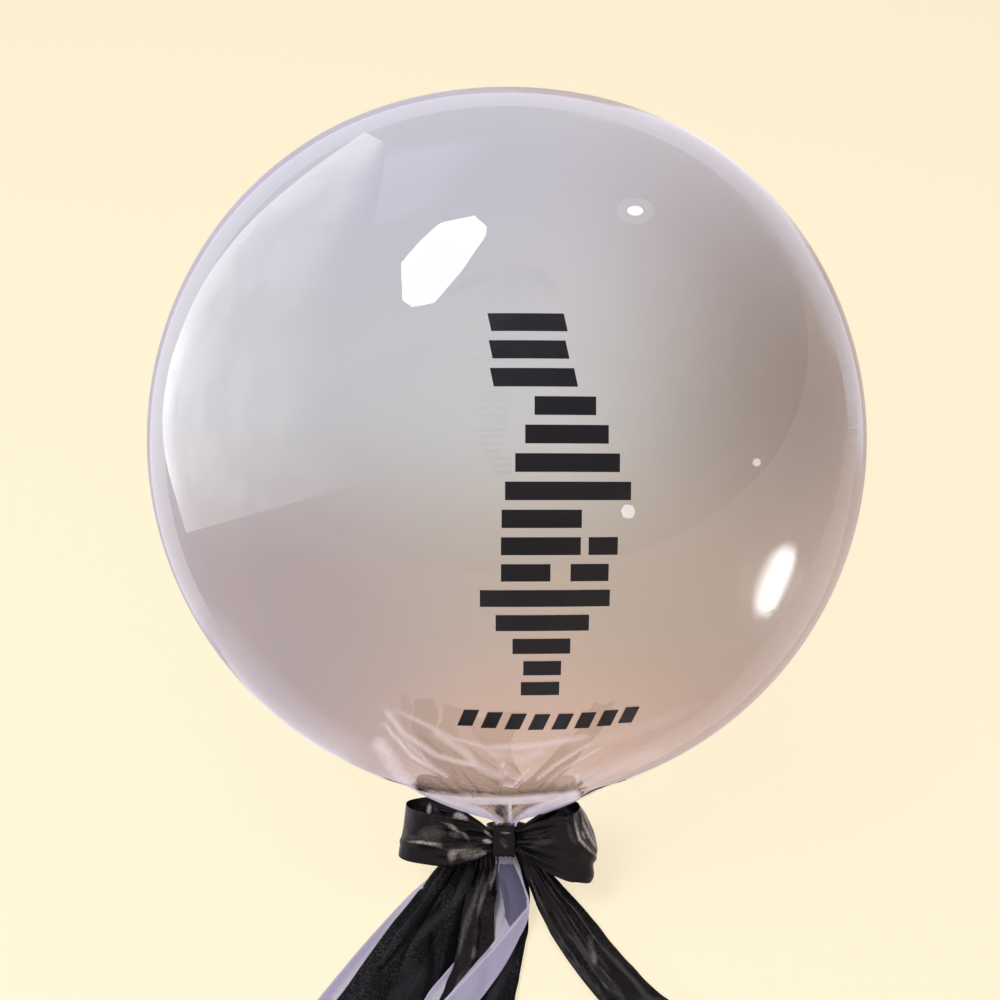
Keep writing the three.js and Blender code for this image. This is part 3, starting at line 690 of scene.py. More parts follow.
def grid_normals(grid, ring=False):
    """The normal at each point of a grid of points."""
    if ring:
        along = np.roll(grid, -1, axis=0) - np.roll(grid, 1, axis=0)
    else:
        along = np.gradient(grid, axis=0)
    return unit(np.cross(along, np.gradient(grid, axis=1)))


def smooth_piece(name, points, faces, material):
    """A smooth-shaded piece from points in millimetres."""
    mesh = bpy.data.meshes.new(name)
    mesh.from_pydata((points * MM).tolist(), [], faces)
    mesh.polygons.foreach_set("use_smooth", [True] * len(mesh.polygons))
    mesh.materials.append(material)
    return add_object(name, mesh)


def thicken(piece, thickness, offset):
    """Gives a thin piece its wall. Offset 0 is half to each side, and -1 is all to the inside."""
    wall = piece.modifiers.new("thickness", "SOLIDIFY")
    wall.thickness, wall.offset = thickness * MM, offset


def grid_faces(index):
    """The four corners of each small square of a grid of point numbers."""
    return np.stack([index[:-1, :-1], index[1:, :-1], index[1:, 1:], index[:-1, 1:]], axis=-1).reshape(-1, 4)


def sheet_piece(name, grid, thickness, material, cloth=None, ring=False):
    """A thin closed sheet on a grid of points in millimetres. cloth holds each point's place on the cloth."""
    rows, columns = grid.shape[:2]
    index = np.arange(rows * columns).reshape(rows, columns)
    if ring:
        index = np.vstack([index, index[:1]])
    made = smooth_piece(name, grid.reshape(-1, 3), grid_faces(index).tolist(), material)
    if cloth is not None:
        mesh = made.data
        layer = mesh.uv_layers.new(name="cloth")
        loops = np.zeros(len(mesh.loops), int)
        mesh.loops.foreach_get("vertex_index", loops)
        layer.data.foreach_set("uv", (cloth.reshape(-1, 2)[loops] * MM).astype(np.float32).ravel())
    thicken(made, thickness, 0.0)
    print(f"{name}: {rows} x {columns} points, {thickness} mm thick")
    return made


# %% [markdown]
# Folds, painted highlights and painted shade are drawn from the picture as well. A stroke is a short line
# through a few places of the 1000 by 1000 picture, with half a width and an amount. We find where each
# point of a grid is seen, and how far it lies from the stroke. Then we either lift the point into a crease,
# or store an amount on it: tone above zero is a pale painted highlight, and tone below zero is painted
# shade deep in a fold. The materials read that number.

# %% Strokes drawn on a grid
TAPER = 0.4  # share of a painted highlight over which each end thins out
TIP_WIDTH = 0.4  # share of the width that is left at the very end
FAINTEST = 0.02  # a pale stroke weaker than this leaves the painted shade of the fold under it


def seen_at(points):
    """Where points in millimetres are seen in the picture."""
    off = points * MM - EYE
    depth = -(off @ FRONT)[..., None]
    return PICTURE_SIZE / 2 + FOCAL_LENGTH * np.stack([off @ RIGHT, off @ DOWN], axis=-1) / depth


def nearness(places, line, half_width, softness=1.0, taper=0.0):
    """One on a line through a few places, and nothing beyond half a width from it. A taper thins its ends."""
    beside, along = np.full(places.shape[:-1], np.inf), np.zeros(places.shape[:-1])
    corners = np.array(line, float)
    reached = distances_along(corners)
    for a, b, start in zip(corners, corners[1:], reached):
        t = np.clip(((places - a) @ (b - a)) / ((b - a) @ (b - a)), 0, 1)
        distance = np.linalg.norm(places - a - t[..., None] * (b - a), axis=-1)
        along = np.where(distance < beside, (start + t * np.linalg.norm(b - a)) / reached[-1], along)
        beside = np.minimum(beside, distance)
    tip = eased(0, taper, np.minimum(along, 1 - along)) if taper else 1.0
    width = half_width * (TIP_WIDTH + (1 - TIP_WIDTH) * tip)
    return (1 - eased(1 - softness, 1.0, beside / width)) * tip


def within(places, corners):
    """True for the places inside a polygon."""
    inside = np.zeros(places.shape[:-1], bool)
    x, y = places[..., 0], places[..., 1]
    for (x0, y0), (x1, y1) in zip(corners, corners[1:] + corners[:1]):
        crosses = (y0 > y) != (y1 > y)
        inside ^= crosses & (x < x0 + (y - y0) * (x1 - x0) / (y1 - y0 + 1e-9))
    return inside


def drawn(places, strokes, where=1.0, taper=0.0):
    """The pale and the deep strokes together, as one number for each place."""
    pale, deep = np.zeros(places.shape[:-1]), np.zeros(places.shape[:-1])
    for line, half_width, amount, *softness in strokes:
        near = nearness(places, line, half_width, *(softness or [1.0]), taper) * abs(amount) * where
        if amount > 0:
            pale = np.maximum(pale, near)
        else:
            deep = np.maximum(deep, near)
    return np.where(pale > FAINTEST, pale, -deep)


def store_tone(piece, tone, name="tone"):
    """Keeps one number for each point of a piece's mesh."""
    layer = piece.data.attributes.new(name, "FLOAT", "POINT")
    layer.data.foreach_set("value", tone.astype(np.float32).ravel())


# %% [markdown]
# ## The balloon's film
#
# The film is turned round the neck's axis like a vase on a wheel, so its outline is a short list of radius
# and depth, the same as the solid's. Two kinds of fold break the roundness. Even pleats gather the last
# few centimetres into the neck. Long sharp creases run out from them into the ball, each with its own
# length, width and depth from a seeded generator, because a stretched film never folds evenly. Last, the
# floor presses the lowest part flat.

# %% Outline of the film
CROWN_FLATTENING = 6.0
CROWN_SPREAD = math.radians(28)
SPHERE_START, SPHERE_END = 0.012, math.radians(163)
GATHER = [  # radius and depth, from the ball to the cut end of the neck
    (56, 220.2), (46, 223.8), (35.5, 227.4), (25.5, 231.2), (16.5, 235.2), (9, 239.2),
    (5.2, 242.8), (4.5, 250), (4.6, 258),
]
FILM_RINGS, FILM_STEPS, CROWDING = 116, 400, 0.16

angles = np.linspace(SPHERE_START, SPHERE_END, 60)
reach = RADIUS - CROWN_FLATTENING * np.exp(-((angles / CROWN_SPREAD) ** 2))
ball_outline = np.stack([reach * np.sin(angles), -reach * np.cos(angles)], axis=1)
outline = smooth_line(np.vstack([ball_outline, GATHER]), fine=12)
outline_length = distances_along(outline)[-1]
share = np.linspace(0, 1, FILM_RINGS)
ring_distance = outline_length * (share + CROWDING * np.sin(math.pi * share) * share)  # closer near the neck
ring_distance *= outline_length / ring_distance[-1]
profile = read_line(outline, ring_distance)
from_neck = outline_length - ring_distance
print("outline is", round(outline_length), "mm long")

# %% Pleats and creases
PLEATS, CREASES, PLEAT_SHIFT = 14, 34, 1.1
PLEAT_PLACES, PLEAT_DEPTHS = [0, 16, 24, 34, 50, 70, 95], [0.4, 0.5, 1.3, 2.2, 1.8, 0.6, 0]
CREASE_SHIFT, CREASE_CURL = (-0.45, 0.45), (-0.25, 0.25)
CREASE_LENGTH, CREASE_HALF, CREASE_DEPTH = (70, 175), (1.6, 4.2), (0.5, 1.7)
SAG_PLACES, SAG_DEPTHS = [20, 25, 31, 42, 56, 76], [0, 1.8, 3.4, 4.0, 2.6, 0]
FLOOR_GAP = 0.15

chance = np.random.default_rng(11)
turn = np.linspace(0, math.tau, FILM_STEPS, endpoint=False)
radius_at, down_at = profile[:, 0:1], profile[:, 1:2]
gather_depth = np.interp(from_neck, PLEAT_PLACES, PLEAT_DEPTHS)[:, None]
pleats = np.cos(PLEATS * turn) + 0.35 * np.sin(2 * PLEATS * turn + PLEAT_SHIFT)
folds = gather_depth * (pleats + 0.25 * np.cos(3 * PLEATS * turn + turn))
for crease in range(CREASES):
    place = math.tau * (crease + chance.uniform(*CREASE_SHIFT)) / CREASES
    length = chance.uniform(*CREASE_LENGTH)
    half_width = chance.uniform(*CREASE_HALF)
    depth = chance.uniform(*CREASE_DEPTH)
    curl = chance.uniform(*CREASE_CURL)
    bent_place = place + curl * (from_neck[:, None] / length)
    off = (turn - bent_place + math.pi) % math.tau - math.pi
    beside = np.abs(off) * np.maximum(radius_at, 4)
    fade = eased(14, 40, from_neck[:, None]) * (1 - eased(0.45 * length, length, from_neck[:, None]))
    folds = folds - depth * fade * np.exp(-beside / half_width)
slope = unit(np.gradient(profile, axis=0))
swell_radius = radius_at + folds * slope[:, 1:2]
swell_down = down_at - folds * slope[:, 0:1]
sag = np.interp(from_neck, SAG_PLACES, SAG_DEPTHS)[:, None] * (1 - np.cos(turn)) / 2
film_points = placed(swell_radius * np.sin(turn), swell_down + sag, swell_radius * np.cos(turn))
film_points[..., 2] = np.maximum(film_points[..., 2], FLOOR_GAP)
print("deepest fold:", round(float(-folds.min()), 1), "mm")

# %% Make the film
FILM_WALL = 0.25

film_index = 1 + np.arange(FILM_RINGS * FILM_STEPS).reshape(FILM_RINGS, FILM_STEPS)
beside_index = np.roll(film_index, -1, axis=1)
squares = [film_index[:-1], film_index[1:], beside_index[1:], beside_index[:-1]]
film_faces = np.stack(squares, axis=-1).reshape(-1, 4).tolist()
film_faces += [(0, int(a), int(b)) for a, b in zip(film_index[0], beside_index[0])]
crown = placed(0, -(RADIUS - CROWN_FLATTENING), 0)
all_points = np.vstack([crown[None], film_points.reshape(-1, 3)])
film = smooth_piece("balloon_film", all_points, film_faces, film_material)
thicken(film, FILM_WALL, -1.0)
middle = Vector((0, 0, CENTRE_HEIGHT * MM))
outward = sum(p.normal.dot(p.center - middle) > 0 for p in film.data.polygons)
print("film:", len(film.data.polygons), "faces, facing out:", outward)

# %% [markdown]
# Where the film is gathered, many layers of it lie over each other, and light no longer passes cleanly.
# The gather looks milky lilac, and each long crease has a pale line, partly a painted highlight. We add
# that as two thin skins over the neck's end of the film. The first goes all round and carries even pleats.
# The second reaches further over the front and carries the longer folds, a few painted glints, and painted
# shade where light is lost. The pale skin glows faintly as well, which is painted light. How much a skin
# covers is a number on each point, so one material serves both.

# %% Strokes of the milky folds
# Pale strokes are milky film, some of them painted glints; strokes below zero are painted shade.
HAZE_GLINT_AND_SHADE_STROKES = [
    ([(381, 704), (402, 732), (435, 755), (453, 761), (474, 765)], 3.5, 0.34),
    ([(384, 700), (410, 745), (436, 770)], 2.5, 0.20),
    ([(384, 724), (413, 757), (447, 777)], 2.5, 0.38),
    ([(390, 707), (422, 723), (452, 738), (484, 747), (498, 757)], 2.5, 0.26),
    ([(437, 733), (464, 752), (480, 768), (498, 776)], 6, 0.22),
    ([(487, 748), (520, 747), (552, 743), (585, 737)], 5, 0.20),
    ([(492, 752), (520, 760), (540, 752)], 8, 0.14),
    ([(589, 744), (556, 765), (538, 779)], 2.2, 0.38),
    ([(600, 748), (566, 768), (548, 782)], 2.0, 0.22),
    ([(577, 775), (578, 782)], 1.6, 0.6),
    ([(504, 785), (513, 787), (522, 777)], 1.4, 0.5),
    ([(500, 760), (507, 775), (518, 780), (530, 768)], 1.6, 0.30),
    ([(572, 746), (620, 735), (660, 722), (700, 700)], 12, 0.04),
    ([(560, 782), (610, 770), (655, 752)], 9, 0.09),
    ([(380, 745), (395, 768), (408, 786)], 12, 0.30),
    ([(404, 797), (430, 800), (456, 805), (480, 814), (497, 824)], 9, 0.80, 0.7),
    ([(574, 796), (548, 805), (530, 814), (518, 824)], 8, 0.72, 0.7),
    ([(420, 796), (470, 801), (520, 801), (560, 797)], 5, 0.62, 0.6),
    ([(510, 800), (510.5, 825)], 2.6, 0.85),
    ([(499, 803), (499.5, 824)], 5.5, -0.62, 0.6),
    ([(416, 782), (440, 790), (500, 795), (545, 791), (572, 778)], 5, -0.14),
    ([(455, 748), (470, 765), (496, 782)], 5, -0.12),
    ([(420, 735), (440, 752), (455, 772)], 4, -0.08),
]
print("milky folds:", len(HAZE_GLINT_AND_SHADE_STROKES))


# %% A skin over the film
def film_skin(distances, turns, lift):
    """Points a little outside the film, at some distances from its cut end and some turns round the axis."""
    ring = np.interp(distances, from_neck[::-1], np.arange(FILM_RINGS)[::-1])[:, None] + 0 * turns
    step = turns % math.tau / math.tau * FILM_STEPS + 0 * ring
    r0, s0 = np.minimum(ring.astype(int), FILM_RINGS - 2), step.astype(int)
    r, t = (ring - r0)[..., None], (step - s0)[..., None]
    s0, s1 = s0 % FILM_STEPS, (s0 + 1) % FILM_STEPS
    near = film_points[r0, s0] * (1 - t) + film_points[r0, s1] * t
    far = film_points[r0 + 1, s0] * (1 - t) + film_points[r0 + 1, s1] * t
    points = near * (1 - r) + far * r
    normals = grid_normals(points)
    facing = np.sign((normals * (points - placed(0, 0, 0))).sum(axis=-1).mean())
    return points + normals * facing * lift


# %% Material of the milky folds
PALE_FOLD, DEEP_FOLD = (0.86, 0.81, 0.90, 1), (0.09, 0.075, 0.075, 1)
# The pale folds glow faintly, which is painted light, and below zero the skin is a dark sheet of painted
# shade.
PAINTED_FOLD_GLOW, NO_GLOW = (0.80, 0.74, 0.86, 1), (0, 0, 0, 1)
STREAKS_TO_METRE, STREAK_RANGE, STREAK_COVER = 60.0, (0.3, 0.7), (0.75, 1.1)

folds_material, tree, shader = new_material("film_gathers", Roughness=0.32, IOR=1.46, Emission_Strength=0.3)
haze_read = node(tree, "ShaderNodeAttribute", attribute_name="haze").outputs["Fac"]
is_pale = maths(tree, "GREATER_THAN", haze_read, 0.0)
tree.links.new(blended(tree, is_pale, DEEP_FOLD, PALE_FOLD), shader.inputs["Base Color"])
tree.links.new(blended(tree, is_pale, NO_GLOW, PAINTED_FOLD_GLOW), shader.inputs["Emission Color"])
streaks = noise(tree, object_place(tree), STREAKS_TO_METRE, Detail=2.0)[0]
uneven = ramped(tree, streaks, *STREAK_RANGE, *STREAK_COVER)
cover = maths(tree, "MULTIPLY", maths(tree, "ABSOLUTE", haze_read), uneven, clamp=True)
tree.links.new(cover, shader.inputs["Alpha"])

# %% The skin with even pleats
SKIN_WALL = 0.08
GATHER_START, GATHER_REACH, GATHER_LIFT = 6, 100, 0.4
HAZE_LEAST, HAZE_MORE, HAZE_FADE = 0.10, 0.42, (16, 80)
FRONT_CLEARED, TURNING_FRONT = 0.75, (0.0, 0.25)

gather_turns = np.linspace(0, math.tau, FILM_STEPS, endpoint=False)
gather_distances = np.linspace(GATHER_START, GATHER_REACH, 44)
gather_points = film_skin(gather_distances, gather_turns[None, :], GATHER_LIFT)
pleated = 0.5 + 0.5 * np.cos(PLEATS * gather_turns + 0.8 * np.sin(3 * gather_turns))
gather_haze = (HAZE_LEAST + HAZE_MORE * pleated**3) * (1 - eased(*HAZE_FADE, gather_distances[:, None]))
gather_haze = gather_haze * (1 - FRONT_CLEARED * eased(*TURNING_FRONT, np.cos(gather_turns)))
film_gathers = sheet_piece(
    "film_gathers", np.transpose(gather_points, (1, 0, 2)), SKIN_WALL, folds_material, ring=True
)
store_tone(film_gathers, gather_haze.T, "haze")

# %% The skin with the longer folds
CREASE_START, CREASE_REACH, CREASE_LIFT, CREASE_SPREAD = 12, 205, 0.75, math.radians(88)
SIDE_FADE, TOP_FADE = (0.93, 1.0), (0.95, 1.0)

crease_distances = np.linspace(CREASE_START, CREASE_REACH, 124)
crease_turns = np.linspace(-CREASE_SPREAD, CREASE_SPREAD, 210)
crease_points = film_skin(crease_distances, crease_turns[None, :], CREASE_LIFT)
crease_haze_and_shade = drawn(seen_at(crease_points), HAZE_GLINT_AND_SHADE_STROKES)
side_fade = 1 - eased(*SIDE_FADE, np.abs(crease_turns) / CREASE_SPREAD)
top_fade = 1 - eased(*TOP_FADE, crease_distances[:, None] / CREASE_REACH)
crease_haze_and_shade *= side_fade * top_fade
film_creases = sheet_piece("film_creases", crease_points, SKIN_WALL, folds_material)
store_tone(film_creases, np.clip(crease_haze_and_shade, -1, 1), "haze")

# %% [markdown]
# ## The bow
#
# The bow is one ribbon laid in two loops and pinched in the middle. A closed smooth line gives its way
# round, seen from above, and rules for its width, droop and slant open each loop. They are the solid's own
# rules, drawn here on a much finer grid. Then come the things that make it read as plastic ribbon: pleats
# that fan out of the knot, a few long creases, and a gentle crumple.

# %% Creases for a sheet
OCTAVES, WAVES_EACH = 3, 7
FINER, FAINTER, RUFFLE_SCALE = 1.7, 2.2, 3.0


def ruffled(grid, seed, amount, size, ring=False):
    """Moves a grid's points in and out along its normals with soft folds of about this size."""
    dice = np.random.default_rng(seed)
    normals = grid_normals(grid, ring)
    height = np.zeros(grid.shape[:2])
    for octave in range(OCTAVES):
        for _ in range(WAVES_EACH):
            way = unit(dice.normal(size=3)) * math.tau / (size / (FINER**octave))
            wave = np.sin(grid @ way + dice.uniform(0, math.tau))
            height += wave * amount / (FAINTER**octave) / RUFFLE_SCALE
    return grid + normals * height[..., None]


# %% The bow's loops
BOW_LINE = [
    (0, 15.6), (8, 15.3), (17, 12), (28, 6), (39, 1.5), (49, 1), (56, 6), (57.5, 15), (54, 26), (44, 32),
    (30, 30.5), (18, 25.5), (8, 21), (0, 20.1), (-8, 21), (-18, 25), (-30, 29.5), (-44, 31.5), (-56, 28),
    (-63, 18.5), (-62.5, 8), (-54, 1.5), (-41, 1), (-28, 6), (-17, 12), (-8, 15.3),
]
BOW_MIDDLE, BOW_DOWN, BOW_DEPTH_MIDDLE, BOW_WAIST_HALF = -1.7, 250.5, 17.8, 6.4
LOOPS = {
    "left": {"half": 15.8, "opens": 35, "droop": -5.6, "lean": -6, "round": 0},
    "right": {"half": 21, "opens": 45, "droop": 1.2, "lean": 6.5, "round": -7},
}
LOOP_FLARE, LOOP_TILT, BACK_LAG, SHUT_REACH, OPENING_CURVE = 3.5, 0.15, 0.7, 9, 1.8
DROOP_START, LOOP_REACH, LEAN_START, PLEAT_DEPTH, PLEAT_REACH = 8, 58, 25, 0.9, 36
FAN_DEPTH, FAN_RISE, FAN_FALL, FAN_FOLDS, FAN_SPREAD = 0.8, (9, 16), (26, 50), 5.3, 0.06
BOW_ROWS, BOW_COLUMNS = 560, 61

bow_line = smooth_line(BOW_LINE, closed=True)
bow_line = np.vstack([bow_line, bow_line[:1]])
bow_length = distances_along(bow_line)[-1]
bow_distance = np.linspace(0, bow_length, BOW_ROWS, endpoint=False)
at = read_line(bow_line, bow_distance)
way = unit(np.roll(at, -1, axis=0) - np.roll(at, 1, axis=0))
out, deep = at[:, 0:1], at[:, 1:2]
is_right = out > 0


def by_loop(name):
    """One measure of the loop that each row belongs to."""
    return np.where(is_right, LOOPS["right"][name], LOOPS["left"][name])


loop_reach = np.abs(out)
opens = by_loop("opens") + BACK_LAG * np.maximum(BOW_DEPTH_MIDDLE - deep, 0)
shut = np.clip((opens - loop_reach) / (opens - SHUT_REACH), 0, 1)
opened = 1 - shut**OPENING_CURVE
half = BOW_WAIST_HALF + (by_loop("half") - BOW_WAIST_HALF) * opened
tilt = LOOP_TILT * (deep - BOW_DEPTH_MIDDLE) * opened
down = BOW_DOWN + by_loop("droop") * eased(DROOP_START, LOOP_REACH, loop_reach) + tilt
across = np.linspace(-1, 1, BOW_COLUMNS)[None, :]
flare = -across * LOOP_FLARE * opened
slant = (by_loop("lean") * across + by_loop("round") * across**2) * eased(LEAN_START, LOOP_REACH, loop_reach)
pleat = PLEAT_DEPTH * (1 - eased(DROOP_START, PLEAT_REACH, loop_reach)) * np.cos(math.tau * across)
fan_depth = FAN_DEPTH * eased(*FAN_RISE, loop_reach) * (1 - eased(*FAN_FALL, loop_reach))
fan = fan_depth * np.cos(FAN_FOLDS * math.pi * across + FAN_SPREAD * out)
to_side = BOW_MIDDLE + out + way[:, 1:2] * flare + slant
to_viewer = deep - way[:, 0:1] * flare + pleat + fan
bow_grid = placed(to_side, down + across * half, to_viewer)
bow_grid = ruffled(bow_grid, seed=5, amount=0.35, size=26, ring=True)
print("the bow takes", round(bow_length), "mm of ribbon")

# %% Creases, painted highlights and painted shade of the bow
FRONT_CREASES = [  # line, half width, height in millimetres
    ([(438, 819), (455, 830), (473, 843)], 9, 1.3),
    ([(404, 841), (425, 841.5), (445, 843), (474, 847)], 8, 1.5),
    ([(447, 845), (450, 853), (449, 864)], 6, 0.9),
    ([(476, 826), (486, 832), (494, 838)], 4, 0.8),
    ([(474, 838), (484, 842), (494, 842)], 4, 0.7),
    ([(572, 813), (578, 838), (596, 860)], 5, 1.0),
    ([(581, 813), (588, 833), (600, 857)], 4, 0.9),
    ([(514, 836), (528, 836), (543, 832)], 6, -1.2),
    ([(514, 847), (530, 842), (556, 834)], 7, 0.8),
    ([(515, 853), (532, 855), (558, 866)], 6, 0.6),
]
INNER_CREASES = [
    ([(427, 806), (431, 816)], 6, 1.0),
    ([(448, 812), (468, 822)], 6, 0.9),
    ([(530, 818), (560, 806)], 6, -0.6),
]
# Painted highlights where the amount is above zero, and painted shade where it is below.
FRONT_HIGHLIGHTS_AND_SHADE = [  # line, half width, amount
    ([(405, 841), (424, 841.5), (446, 845)], 2.4, 0.62),
    ([(411, 836), (440, 832), (452, 836)], 12, 0.075),
    ([(424, 842), (438, 844), (446, 850)], 4, 0.22),
    ([(440, 846), (456, 850), (484, 846)], 5, 0.42),
    ([(457, 845), (453, 853), (450, 864)], 6.5, 0.55),
    ([(452, 856), (490, 851)], 8, 0.30),
    ([(476, 849), (488, 856)], 4, 0.38),
    ([(438, 819), (455, 828), (473, 842)], 2.2, 0.40),
    ([(446, 829), (462, 838)], 6, 0.10),
    ([(480, 828), (488, 833), (493, 840)], 1.8, 0.42),
    ([(480, 840), (493, 842)], 2.8, 0.75),
    ([(404, 812), (405, 835), (402, 853)], 6, 0.05),
    ([(571, 808), (575, 826), (579, 840), (588, 849), (600, 862)], 1.9, 0.62),
    ([(579, 808), (583, 825), (588, 836), (595, 848), (603, 860)], 1.9, 0.62),
    ([(565, 815), (571, 835), (580, 852)], 5, 0.05),
    ([(520, 850), (545, 842), (564, 836)], 6, 0.045),
    ([(593, 862), (592, 880)], 2.2, 0.16),
    ([(450, 824), (465, 829), (482, 835)], 6, -0.8),
    ([(412, 848), (435, 851), (444, 858)], 5, -0.7),
    ([(516, 836), (530, 835), (542, 832)], 4, -0.9),
    ([(514, 842), (520, 850)], 4, -0.7),
]
INNER_HIGHLIGHTS_AND_SHADE = [
    ([(430, 801), (428, 817)], 3.4, 0.8),
    ([(433, 806), (438, 812)], 3.4, 0.07),
    ([(449, 822), (459, 815), (471, 822)], 4.6, 1.0),
    ([(412, 800), (440, 806), (470, 814)], 3, 0.035),
    ([(440, 812), (446, 818)], 4, -0.9),
    ([(520, 824), (560, 806), (577, 808)], 14, -0.9),
]
FRONT_FROM, FRONT_TO = BOW_DEPTH_MIDDLE - 3, BOW_DEPTH_MIDDLE + 1
LOWER_CORNER, CORNER_REACH, CORNER_PULL = [(586, 878), (590, 874)], 12, 2.6 * RIGHT + 2.4 * DOWN
bow_seen = seen_at(bow_grid)
bow_front = eased(FRONT_FROM, FRONT_TO, deep)
bow_normals = grid_normals(bow_grid, ring=True)
bow_normals = bow_normals * np.sign(bow_normals @ FRONT)[..., None]
corner_share = nearness(bow_seen, LOWER_CORNER, CORNER_REACH)[..., None] * bow_front[..., None]
bow_grid = bow_grid + corner_share * CORNER_PULL


def raised_by(creases, where):
    """How far the drawn creases lift each point of the bow, in millimetres."""
    return sum(height * nearness(bow_seen, line, half_width) for line, half_width, height in creases) * where


lift = raised_by(FRONT_CREASES, bow_front) + raised_by(INNER_CREASES, 1 - bow_front)
bow_grid = bow_grid + bow_normals * lift[..., None]
bow_painted_light = drawn(bow_seen, FRONT_HIGHLIGHTS_AND_SHADE, bow_front, TAPER) + drawn(bow_seen, INNER_HIGHLIGHTS_AND_SHADE, 1 - bow_front, TAPER)
print("bow points with a drawn tone:", int((np.abs(bow_painted_light) > FAINTEST).sum()))

# %% Make the bow
GLOSS_WALL = 0.45
bow_cloth = np.stack([across * half + 0 * out, bow_distance[:, None] + 0 * across], axis=-1)
bow = sheet_piece("bow_ribbon_loops", bow_grid, GLOSS_WALL, gloss_material, bow_cloth, ring=True)
store_tone(bow, bow_painted_light)

# %% [markdown]
# The knot is a short band of the same ribbon folded over the middle, and the binding is a turn of it round
# the neck. Both are rings of rounded-square or oval section, pulled into small pleats.

# %% Knot and binding
KNOT_WIDTH, KNOT_SQUARENESS, KNOT_WAIST = 14, 7, 0.07
KNOT_HALF_HEIGHT, KNOT_DEPTH_MIDDLE, KNOT_HALF_DEPTH, KNOT_PLEAT = 9.8, 16.8, 6.1, 0.35
WRAP_TOP, WRAP_BOTTOM, WRAP_DEPTH_MIDDLE = 243.8, 255, -1.2
WRAP_HALF_WIDTH, WRAP_HALF_DEPTH, WRAP_PLEAT, BAND_WALL = 12.4, 10.8, 0.3, 0.5
# Painted highlights and painted shade on the knot.
KNOT_HIGHLIGHTS_AND_SHADE = [
    ([(499, 832), (505, 833), (512, 833)], 1.3, 0.45),
    ([(498, 838), (508, 846)], 7, 0.045),
    ([(501, 843), (506, 846), (505, 850)], 2.5, 0.10),
    ([(494, 826), (512, 827)], 3, -0.7),
    ([(512, 836), (512, 856)], 3, -0.6),
]

round_turn = np.linspace(0, math.tau, 160, endpoint=False)[:, None]
cosine, sine = np.cos(round_turn), np.sin(round_turn)
squared = (np.abs(cosine) ** KNOT_SQUARENESS + np.abs(sine) ** KNOT_SQUARENESS) ** (-1 / KNOT_SQUARENESS)
side = np.linspace(-1, 1, 23)[None, :]
knot_pleat = KNOT_PLEAT * np.cos(4.4 * math.pi * side + 1.4 * sine)
knot_grid = placed(
    BOW_MIDDLE + side * KNOT_WIDTH / 2 * (1 - KNOT_WAIST * cosine**2) + 0 * cosine,
    BOW_DOWN + (KNOT_HALF_HEIGHT + knot_pleat) * cosine * squared,
    KNOT_DEPTH_MIDDLE + (KNOT_HALF_DEPTH + knot_pleat) * sine * squared,
)
knot_grid = ruffled(knot_grid, seed=8, amount=0.22, size=9, ring=True)
knot_cloth = np.stack([side * KNOT_WIDTH / 2 + 0 * round_turn, 9 * round_turn + 0 * side], axis=-1)
knot = sheet_piece("bow_knot_band", knot_grid, BAND_WALL, gloss_material, knot_cloth, ring=True)
store_tone(knot, drawn(seen_at(knot_grid), KNOT_HIGHLIGHTS_AND_SHADE, 1.0, TAPER))

fall = np.linspace(0, 1, 17)[None, :]
wrap_pleat = WRAP_PLEAT * np.cos(math.tau * 2.5 * fall + cosine)
wrap_grid = placed(
    (WRAP_HALF_WIDTH + wrap_pleat) * cosine,
    WRAP_TOP + (WRAP_BOTTOM - WRAP_TOP) * fall + 0 * cosine,
    WRAP_DEPTH_MIDDLE + (WRAP_HALF_DEPTH + wrap_pleat) * sine,
)
wrap_cloth = np.stack([12 * fall + 0 * round_turn, 12 * round_turn + 0 * fall], axis=-1)
wrap = sheet_piece("neck_binding_band", wrap_grid, BAND_WALL, gloss_material, wrap_cloth, ring=True)

# %% [markdown]
# ## Ribbons
#
# Each ribbon starts in the binding, drops to the floor and trails over it, and where it crosses another it
# has to climb over. We lay them one after another. A height map of the floor remembers what already lies
# there. Before a ribbon is laid, the map is widened and softened, so that the ribbon starts to rise before
# it meets the one below, as real ribbon does. Every ribbon has a smooth line, a width and a fold depth
# that are read at the same stations as the solid's.

# %% What already lies on the floor
CELL = 1.0
BED_X, BED_Y, BED_SIZE = -200.0, -420.0, (400, 270)
BED_START, BED_EASE = -187.0, 12
AIR = 0.35
REACH, SOFTENINGS = 6, 6
bed = np.zeros(BED_SIZE)


def bed_cells(points):
    """The cell of the height map that each point is over."""
    i = np.clip(((points[..., 0] - BED_X) / CELL).round().astype(int), 0, BED_SIZE[0] - 1)
    j = np.clip(((points[..., 1] - BED_Y) / CELL).round().astype(int), 0, BED_SIZE[1] - 1)
    return i, j


def widened_bed():
    """The height map, widened by a few millimetres and then softened by less."""
    wide = bed.copy()
    for _ in range(REACH):
        for axis in (0, 1):
            wide = np.maximum(wide, np.maximum(np.roll(wide, 1, axis), np.roll(wide, -1, axis)))
    for _ in range(SOFTENINGS):
        for axis in (0, 1):
            wide = (wide + np.roll(wide, 1, axis) + np.roll(wide, -1, axis)) / 3
    return wide


